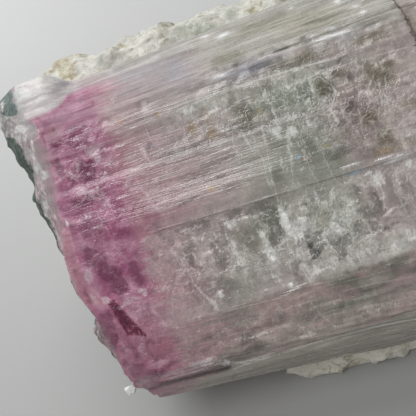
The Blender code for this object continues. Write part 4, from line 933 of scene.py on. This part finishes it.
    # the tip: fibres along its edge, and a dark green skin with a clear border
    skin = n.fit(plus(n.attr("skin_level"), times(less(jag, 0.5), 7.0), times(less(fine, 0.5), 2.5)), -0.8, 0.9)
    fibre = n.noise(n.scaled(rock, (2.4, 0.42, 1.5), (3, 5, 1)), 1.0, 3.0, 0.6)
    patch = n.noise(n.scaled(rock, (0.5, 0.5, 0.5), (4, 4, 4)), 1.0, 3.0, 0.6)
    colour = n.mix(times(tip, n.fit(fibre, 0.52, 0.68), 0.45), tint, lin(238, 236, 232))
    colour = n.mix(times(tip, n.fit(fibre, 0.48, 0.34), 0.5), colour, lin(150, 140, 142))
    green_light = n.add("ShaderNodeVectorMath", operation="SCALE")
    n.plug(green_light.inputs[0], n.attr("skin_tint", "Vector"))
    n.plug(green_light.inputs["Scale"], plus(0.55, times(patch, 0.8), times(less(speck, 0.5), 1.1), times(n.fit(fibre, 0.56, 0.7), 0.7)))
    colour = n.mix(skin, colour, green_light.outputs[0])
    deep_tone = n.mix(pink, lin(106, 100, 90), lin(122, 44, 76))
    dimmed = n.add("ShaderNodeVectorMath", operation="SCALE")
    n.plug(dimmed.inputs[0], colour)
    dimmed.inputs["Scale"].default_value = 0.44
    shadowed = n.mix(plus(0.25, times(pink, 0.30)), dimmed.outputs[0], deep_tone)
    colour = n.mix(dark, colour, shadowed)
    bright_tone = n.mix(pink, lin(236, 235, 230), lin(220, 172, 188))
    colour = n.mix(times(white, 0.66, less(1.0, times(skin, 0.8))), colour, bright_tone)
    colour = n.mix(times(knots, 1.15), colour, n.mix(pink, lin(246, 245, 241), lin(236, 202, 212)))
    # light and dark along the axis
    streak = plus(times(lines1, 0.40), times(lines2, 0.36), times(lines3, 0.24))
    shade = times(less(n.fit(streak, 0.38, 0.62, 0.0, 2.0, False), 1.0), times(streaky, plus(0.17, times(upper, 0.10))))
    mottle = times(less(n.fit(plus(times(speck, 0.5), times(cloud, 0.5)), 0.36, 0.64, 0.0, 2.0, False), 1.0), 0.11)
    level = plus(1.0, shade, mottle, times(facet, plus(crackly, 0.15)), times(less(fine, 0.5), 0.22))
    lit = n.add("ShaderNodeVectorMath", operation="SCALE")
    n.plug(lit.inputs[0], colour)
    n.plug(lit.inputs["Scale"], level)
    # painted glints: the base colour turns near white at the glint spots
    colour = n.mix(times(glint_paint_and_gloss, n.fit(plus(fine, times(glint_paint_and_gloss, 0.35)), 0.45, 0.66)), lit.outputs[0], lin(250, 250, 250))
    n.plug(n.shader.inputs["Base Color"], colour)

    see = plus(0.26, times(dark, 0.26))
    see = times(see, less(1.0, times(white, 0.8)))
    see = n.math("MULTIPLY", see, less(1.0, times(most(skin, glint_paint_and_gloss), 0.85)), clamp=True)
    n.plug(n.shader.inputs["Transmission Weight"], see)
    rough = plus(n.fit(cloud, 0.3, 0.7, 0.15, 0.28), times(white, 0.20), times(skin, 0.16), times(matte, 0.32))
    rough = n.math("MAXIMUM", less(rough, times(glint_paint_and_gloss, 0.2)), 0.07)
    n.plug(n.shader.inputs["Roughness"], rough)
    n.shader.inputs["IOR"].default_value = 1.63

    lines = plus(times(lines2, 0.5), times(lines3, 0.5))
    normal = n.bump(times(lines, plus(0.25, streaky)), 0.5, 0.00011)
    rugged = plus(times(n.fit(net2, 0.0, 0.1), 0.3, crackly), times(n.fit(net, 0.0, 0.08), 0.5, crackly), times(cloud, 0.7), times(speck, 0.30))
    normal = n.bump(rugged, 0.5, 0.00007, normal)
    normal = n.bump(glint_paint_and_gloss, 0.8, 0.00012, normal)
    n.plug(n.shader.inputs["Normal"], normal)

    inside = n.add("ShaderNodeVolumeAbsorption")
    inside.inputs["Color"].default_value = (0.68, 0.72, 0.68, 1)
    inside.inputs["Density"].default_value = 80.0
    n.t.links.new(inside.outputs[0], n.out.inputs["Volume"])
    return mat


def sealed_veils(tree):
    """Healed cracks inside the crystal: thin closed wavy plates, most of them across the axis, under the front face."""
    verts, faces = [], []
    nu, nv = 7, 5
    k = 0
    for a, b, ra, rb, turn, amount in VEIL:
        if amount < 0.45 or b < -100 or b > 118:
            continue
        for layer in (0, 1):
            k += 1
            h = [float(hashed(np.array(k * 1.7), np.array(j * 2.3), np.array(0.5), 401)) for j in range(8)]
            centre_x, centre_p = a * STEP + 0.5 * h[0], b * STEP + 0.4 * h[1]
            depth = 0.7 + 0.9 * (h[2] + 1) + 1.6 * layer
            half_p = max(0.5, rb * STEP * 0.9)
            half_q = 0.5 + 0.35 * (h[3] + 1)
            lean_p, lean_q = math.radians(turn + 8 * h[4]), math.radians(34 * h[5])
            thick = 0.03
            grid = []
            for side in (-1, 1):
                for i in range(nu):
                    for j in range(nv):
                        u, v = 2 * i / (nu - 1) - 1, 2 * j / (nv - 1) - 1
                        squeeze = math.sqrt(max(0.0, 1 - 0.55 * v * v))
                        pu, qv = u * half_p * squeeze, v * half_q * math.sqrt(max(0.0, 1 - 0.45 * u * u))
                        wave = 0.10 * math.sin(3.1 * u + 5 * h[6]) + 0.07 * math.sin(4.3 * v + 7 * h[7])
                        x = centre_x + pu * math.tan(lean_p) + qv * math.tan(lean_q) + wave + side * thick * (1 - 0.9 * max(abs(u), abs(v)) ** 4)
                        grid.append((centre_p + pu, depth + qv, x))
            base = len(verts)
            pts = to_world(*(np.array([g[c] for g in grid]) for c in range(3)))
            if not stays_inside(tree, pts.tolist()):
                continue
            verts.extend(pts.tolist())

            def at(side, i, j):
                return base + side * nu * nv + i * nv + j
            for i in range(nu - 1):
                for j in range(nv - 1):
                    faces.append((at(0, i, j), at(0, i + 1, j), at(0, i + 1, j + 1), at(0, i, j + 1)))
                    faces.append((at(1, i, j), at(1, i, j + 1), at(1, i + 1, j + 1), at(1, i + 1, j)))
            rim = [(i, 0) for i in range(nu)] + [(nu - 1, j) for j in range(1, nv)] + [(i, nv - 1) for i in range(nu - 2, -1, -1)] + [(0, j) for j in range(nv - 2, 0, -1)]
            for (i0, j0), (i1, j1) in zip(rim, rim[1:] + rim[:1]):
                faces.append((at(0, i1, j1), at(0, i0, j0), at(1, i0, j0), at(1, i1, j1)))
    me = bpy.data.meshes.new("sealed_veils")
    me.from_pydata(verts, [], faces)
    bm = bmesh.new()
    bm.from_mesh(me)
    bmesh.ops.recalc_face_normals(bm, faces=bm.faces)
    bm.to_mesh(me)
    bm.free()
    mat = bpy.data.materials.new("healed_crack")
    n = Nodes(mat)
    mm = n.scaled(n.add("ShaderNodeTexCoord").outputs["Object"], (1000.0, 1000.0, 1000.0))
    fleck = n.noise(mm, 2.4, 3.0, 0.6)
    n.plug(n.shader.inputs["Base Color"], n.mix(n.fit(fleck, 0.35, 0.65), lin(214, 212, 208), lin(246, 246, 244)))
    n.plug(n.shader.inputs["Roughness"], n.fit(fleck, 0.3, 0.7, 0.35, 0.6))
    n.plug(n.shader.inputs["Transmission Weight"], n.fit(fleck, 0.45, 0.6, 0.0, 0.75))
    n.shader.inputs["IOR"].default_value = 1.33
    me.materials.append(mat)
    me.shade_smooth()
    ob = bpy.data.objects.new("sealed_veils", me)
    bpy.context.scene.collection.objects.link(ob)
    return ob


def tree_of(me):
    return BVHTree.FromPolygons([v.co.copy() for v in me.vertices], [tuple(f.vertices) for f in me.polygons])


def stays_inside(tree, pts):
    """True when every point lies at least 0.05 mm under the skin."""
    for p in pts:
        near, normal, _, _ = tree.find_nearest(Vector(p))
        if (Vector(p) - near).dot(normal) > -0.05 * MM:
            return False
    return True


# ------------------------------------------------------------------ the feldspar
def crystal_gap(y, z, x):
    """Rough distance outside the crystal's wall of points given in world axes before the shift, in millimetres."""
    e = math.radians(FRONT_LEAN)
    p = y * math.sin(e) + z * math.cos(e)
    q = y * math.cos(e) - z * math.sin(e)
    grow = 1 + TAPER * (x - 4.0)
    c = np.array(CENTRE)
    flat = np.stack([c[0] + (p - c[0]) / grow, c[1] + (q - c[1]) / grow], 1)
    outline = TABLE[0][::12]
    d = skin_depth(flat[:, 0], flat[:, 1], outline)
    return np.where(signed_side(flat, outline), -d, d)


def matrix_mesh(node):
    me = node.data.copy()
    me.name = "feldspar"
    me.materials.clear()
    ob = bpy.data.objects.new("feldspar_lump", me)
    bpy.context.scene.collection.objects.link(ob)
    mod = ob.modifiers.new("even", "REMESH")
    mod.mode = "VOXEL"
    mod.voxel_size = 0.00036
    dg = bpy.context.evaluated_depsgraph_get()
    fine = bpy.data.meshes.new_from_object(ob.evaluated_get(dg))
    ob.modifiers.clear()
    ob.data = fine
    fine.name = "feldspar"
    co = np.empty(len(fine.vertices) * 3, np.float32)
    no = co.copy()
    fine.vertices.foreach_get("co", co)
    fine.vertex_normals.foreach_get("vector", no)
    co, no = co.reshape(-1, 3).astype(float) / MM, no.reshape(-1, 3).astype(float)
    x, y, z = co[:, 0] + SHIFT[0], co[:, 1] + SHIFT[1], co[:, 2] + BASE_Z
    gap = crystal_gap(y, z, x)
    free = ramp(gap, 0.5, 1.6) * ramp(co[:, 2], 0.15, 1.2)
    lumps = 1.1 * fbm(x / 4.6, y / 4.6, z / 4.6, 3, 301)
    r = cells((x + 0.4 * z) / 3.4, (y - 0.35 * z) / 2.9, 307)
    f = cells((x - 0.5 * y) / 1.5, (z + 0.3 * y) / 1.25, 309)
    lumps = lumps + 0.30 * r[0] + 0.75 * (r[3] * r[1] + r[4] * r[2]) + 0.08 * f[0] + 0.26 * (f[3] * f[1] + f[4] * f[2])
    blocks = terrace(2.0 * value_noise(x / 2.6, y / 2.1, z / 2.8, 303), 0.35) / 2.0 * 0.28
    fine_rough = 0.10 * fbm(x / 0.8, y / 0.8, z / 0.8, 2, 305)
    lift = (lumps + blocks + fine_rough - 0.25) * free
    co = co + no * lift[:, None]
    co[:, 2] = np.maximum(co[:, 2], 0.0)
    fine.vertices.foreach_set("co", (co * MM).astype(np.float32).ravel())
    fine.update()
    put(fine, "near", ramp(gap, 2.6, 0.4))
    return ob


def feldspar_material():
    mat = bpy.data.materials.new("feldspar")
    n = Nodes(mat)
    where = n.add("ShaderNodeTexCoord").outputs["Object"]
    mm = n.scaled(where, (1000.0, 1000.0, 1000.0))
    cloud = n.noise(mm, 0.22, 4.0, 0.6)
    fleck = n.noise(mm, 1.4, 4.0, 0.65)
    fine = n.noise(mm, 6.0, 3.0, 0.6)
    colour = n.mix(n.fit(fleck, 0.35, 0.65), lin(194, 193, 182), lin(215, 214, 206))
    colour = n.mix(n.math("MULTIPLY", n.fit(cloud, 0.50, 0.66), 0.55), colour, lin(176, 166, 122))
    colour = n.mix(n.math("MULTIPLY", n.fit(cloud, 0.44, 0.34), 0.5), colour, lin(158, 172, 150))
    colour = n.mix(n.math("MULTIPLY", n.attr("near"), 0.35), colour, lin(150, 158, 138))
    colour = n.mix(n.math("MULTIPLY", n.fit(fine, 0.4, 0.6), 0.2), colour, lin(236, 235, 228))
    # painted light: the lump is paler towards the bottom, which lifts the shade that falls on its lower part
    split = n.add("ShaderNodeSeparateXYZ")
    n.plug(split.inputs[0], mm)
    colour = n.mix(n.fit(split.outputs[2], 17.0, 9.0, 0.0, 0.8), colour, lin(250, 246, 230))
    wavy = n.vadd(mm, n.scaled(n.noise(mm, 0.8, 2.0, 0.5, 0.0, True), (1.4,) * 3, (-0.7,) * 3))
    grains = n.add("ShaderNodeSeparateXYZ")
    n.plug(grains.inputs[0], n.voronoi(n.scaled(wavy, (0.75, 0.9, 0.8)), 1.0, "F1", "Color", 1.0))
    small = n.add("ShaderNodeSeparateXYZ")
    n.plug(small.inputs[0], n.voronoi(n.scaled(wavy, (2.1, 2.5, 2.3)), 1.0, "F1", "Color", 1.0))
    seams = n.voronoi(n.scaled(wavy, (0.75, 0.9, 0.8)), 1.0, "DISTANCE_TO_EDGE", "Distance", 1.0)
    tones = n.math("ADD", n.math("MULTIPLY", grains.outputs[0], 0.13), n.math("MULTIPLY", small.outputs[0], 0.11))
    tones = n.math("ADD", tones, n.math("MULTIPLY", n.fit(seams, 0.0, 0.06), 0.06))
    lit = n.add("ShaderNodeVectorMath", operation="SCALE")
    n.plug(lit.inputs[0], colour)
    n.plug(lit.inputs["Scale"], n.math("ADD", tones, 0.86))
    colour = n.mix(n.math("MULTIPLY", n.fit(n.math("ADD", cloud, n.math("MULTIPLY", small.outputs[1], 0.25)), 0.72, 0.80), 0.5), lit.outputs[0], lin(150, 132, 92))
    n.plug(n.shader.inputs["Base Color"], colour)
    n.plug(n.shader.inputs["Roughness"], n.fit(fleck, 0.3, 0.7, 0.42, 0.75))
    rough_up = n.math("ADD", n.math("ADD", fleck, n.math("MULTIPLY", fine, 0.5)), n.math("MULTIPLY", grains.outputs[1], 0.35))
    n.plug(n.shader.inputs["Normal"], n.bump(rough_up, 0.6, 0.00035))
    return mat


def grain_piece(node):
    """The white grain, finer than its CAD stand-in and inside it."""
    co = np.array([v.co for v in node.data.vertices], float)
    middle, half = (co.max(0) + co.min(0)) / 2, (co.max(0) - co.min(0)) / 2
    bm = bmesh.new()
    bmesh.ops.create_icosphere(bm, subdivisions=5, radius=1.0)
    me = bpy.data.meshes.new("white_grain")
    bm.to_mesh(me)
    bm.free()
    v = np.array([v.co for v in me.vertices], float)
    size = np.full(len(v), 9.0)
    for k in range(17):                             # seventeen flat facets in scattered directions
        up = 1 - 2 * (k + 0.5) / 17
        way = np.array([math.cos(2.4 * k + 0.7) * math.sqrt(1 - up * up), math.sin(2.4 * k + 0.7) * math.sqrt(1 - up * up), up])
        facing = v @ way
        size = np.minimum(size, np.where(facing > 0.2, (0.86 + 0.13 * math.sin(5.3 * k + 1.0)) / np.maximum(facing, 0.2), 9.0))
    size = size + 0.05 * fbm(v[:, 0] * 2.4, v[:, 1] * 2.4, v[:, 2] * 2.4, 3, 333)
    size = np.minimum(size, 1.03)
    v = v * size[:, None] * half * 0.97 + middle + np.array([0.03, 0.11, 0.0]) * MM      # close against the corner it clings to
    me.vertices.foreach_set("co", v.astype(np.float32).ravel())
    me.update()
    ob = bpy.data.objects.new("white_grain", me)
    bpy.context.scene.collection.objects.link(ob)
    mat = bpy.data.materials.new("feldspar_white")
    n = Nodes(mat)
    mm = n.scaled(n.add("ShaderNodeTexCoord").outputs["Object"], (1000.0, 1000.0, 1000.0))
    fleck = n.noise(mm, 4.0, 4.0, 0.6)
    n.plug(n.shader.inputs["Base Color"], n.mix(n.fit(fleck, 0.35, 0.65), lin(236, 236, 233), lin(250, 250, 247)))
    n.plug(n.shader.inputs["Roughness"], n.fit(fleck, 0.3, 0.7, 0.3, 0.6))
    n.plug(n.shader.inputs["Normal"], n.bump(fleck, 0.5, 0.0001))
    me.materials.append(mat)
    return ob


# ------------------------------------------------------------------ build
skin_me, P, Q, X, W, cap_of, deep, kinds = crystal_mesh()
paint_crystal(skin_me, P, Q, X, W, cap_of, deep, kinds)
skin_me.materials.append(crystal_material())
skin_me.shade_smooth()
skin_me.set_sharp_from_angle(angle=math.radians(38))
crystal = bpy.data.objects.new("crystal_skin", skin_me)
bpy.context.scene.collection.objects.link(crystal)

feldspar = matrix_mesh(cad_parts["feldspar_matrix"])
feldspar.data.materials.append(feldspar_material())
feldspar.data.shade_smooth()
skin_tree = tree_of(skin_me)

white = grain_piece(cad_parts["feldspar_grain"])
white.data.shade_smooth()
white.data.set_sharp_from_angle(angle=math.radians(30))

veils = sealed_veils(skin_tree)

for ob, node, slot in ((crystal, "tourmaline_crystal", "tourmaline"), (veils, "tourmaline_crystal", "tourmaline"), (feldspar, "feldspar_matrix", "feldspar"), (white, "feldspar_grain", "feldspar_white")):
    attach(ob, "root")
    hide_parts(node)

# ------------------------------------------------------------------ the table, the light and the camera
bm = bmesh.new()
bmesh.ops.create_grid(bm, x_segments=40, y_segments=40, size=0.9)
floor_me = bpy.data.meshes.new("table_top")
bm.to_mesh(floor_me)
bm.free()
table_top = bpy.data.objects.new("table_top", floor_me)
bpy.context.scene.collection.objects.link(table_top)
mat = bpy.data.materials.new("pale_paper")
n = Nodes(mat)
mm = n.scaled(n.add("ShaderNodeTexCoord").outputs["Object"], (1000.0, 1000.0, 1000.0))
split = n.add("ShaderNodeSeparateXYZ")
n.plug(split.inputs[0], mm)
paper = n.mix(n.noise(mm, 0.03, 2.0), lin(188, 189, 188), lin(192, 193, 192))
# painted shade: the paper is darker towards the front, in two steps, in place of the light falling off there
paper = n.mix(n.fit(split.outputs[1], 75.0, 15.0), paper, lin(181, 182, 181))
n.plug(n.shader.inputs["Base Color"], n.mix(n.fit(split.outputs[1], 24.0, -30.0), paper, lin(177, 177, 176)))
n.shader.inputs["Roughness"].default_value = 0.85
floor_me.materials.append(mat)


def area(name, place, aim, size, power, colour=(1, 1, 1)):
    light = bpy.data.lights.new(name, "AREA")
    light.shape = "DISK"
    light.size = size
    light.energy = power
    light.color = colour
    ob = bpy.data.objects.new(name, light)
    ob.location = place
    ob.rotation_euler = (Vector(aim) - Vector(place)).to_track_quat("-Z", "Y").to_euler()
    bpy.context.scene.collection.objects.link(ob)
    return ob


area("top", (-0.02, 0.15, 0.45), (0, 0, 0.02), 0.34, 0.80)
area("back", (-0.075, 0.100, 0.098), (-0.03, 0.03, 0.0), 0.06, 0.085)
area("front", (-0.15, -0.20, 0.46), (0, 0, 0.02), 0.28, 0.90)
area("fill", (0.05, -0.40, 0.11), (0, 0, 0.012), 0.30, 0.085)
area("glint", (-0.09, -0.25, 0.42), (0, 0, 0.02), 0.04, 0.035)
world = bpy.data.worlds.new("soft_room")
world.use_nodes = True
world.node_tree.nodes["Background"].inputs["Color"].default_value = (0.95, 0.97, 1.0, 1)
world.node_tree.nodes["Background"].inputs["Strength"].default_value = 0.15
bpy.context.scene.world = world

u_, back, right = Vector(ACROSS), Vector(TOWARDS), Vector(ALONG_AXIS)
cam_x = right * math.cos(ROLL) - u_ * math.sin(ROLL)
cam_y = right * math.sin(ROLL) + u_ * math.cos(ROLL)
look_at = Vector((-SHIFT[0], -SHIFT[1], -BASE_Z)) * MM
eye = look_at + back * AWAY * MM
data = bpy.data.cameras.new("camera")
data.lens = 100.0
data.sensor_width = 36.0
data.clip_start = 0.005
camera = bpy.data.objects.new("camera", data)
camera.matrix_world = Matrix(((cam_x.x, cam_y.x, back.x, eye.x), (cam_x.y, cam_y.y, back.y, eye.y), (cam_x.z, cam_y.z, back.z, eye.z), (0, 0, 0, 1)))
bpy.context.scene.collection.objects.link(camera)
bpy.context.scene.camera = camera
bpy.context.scene.view_settings.view_transform = "Standard"

print("denoising", bpy.context.scene.cycles.use_denoising, "faces", {o.name: len(o.data.polygons) for o in (crystal, feldspar, white)})
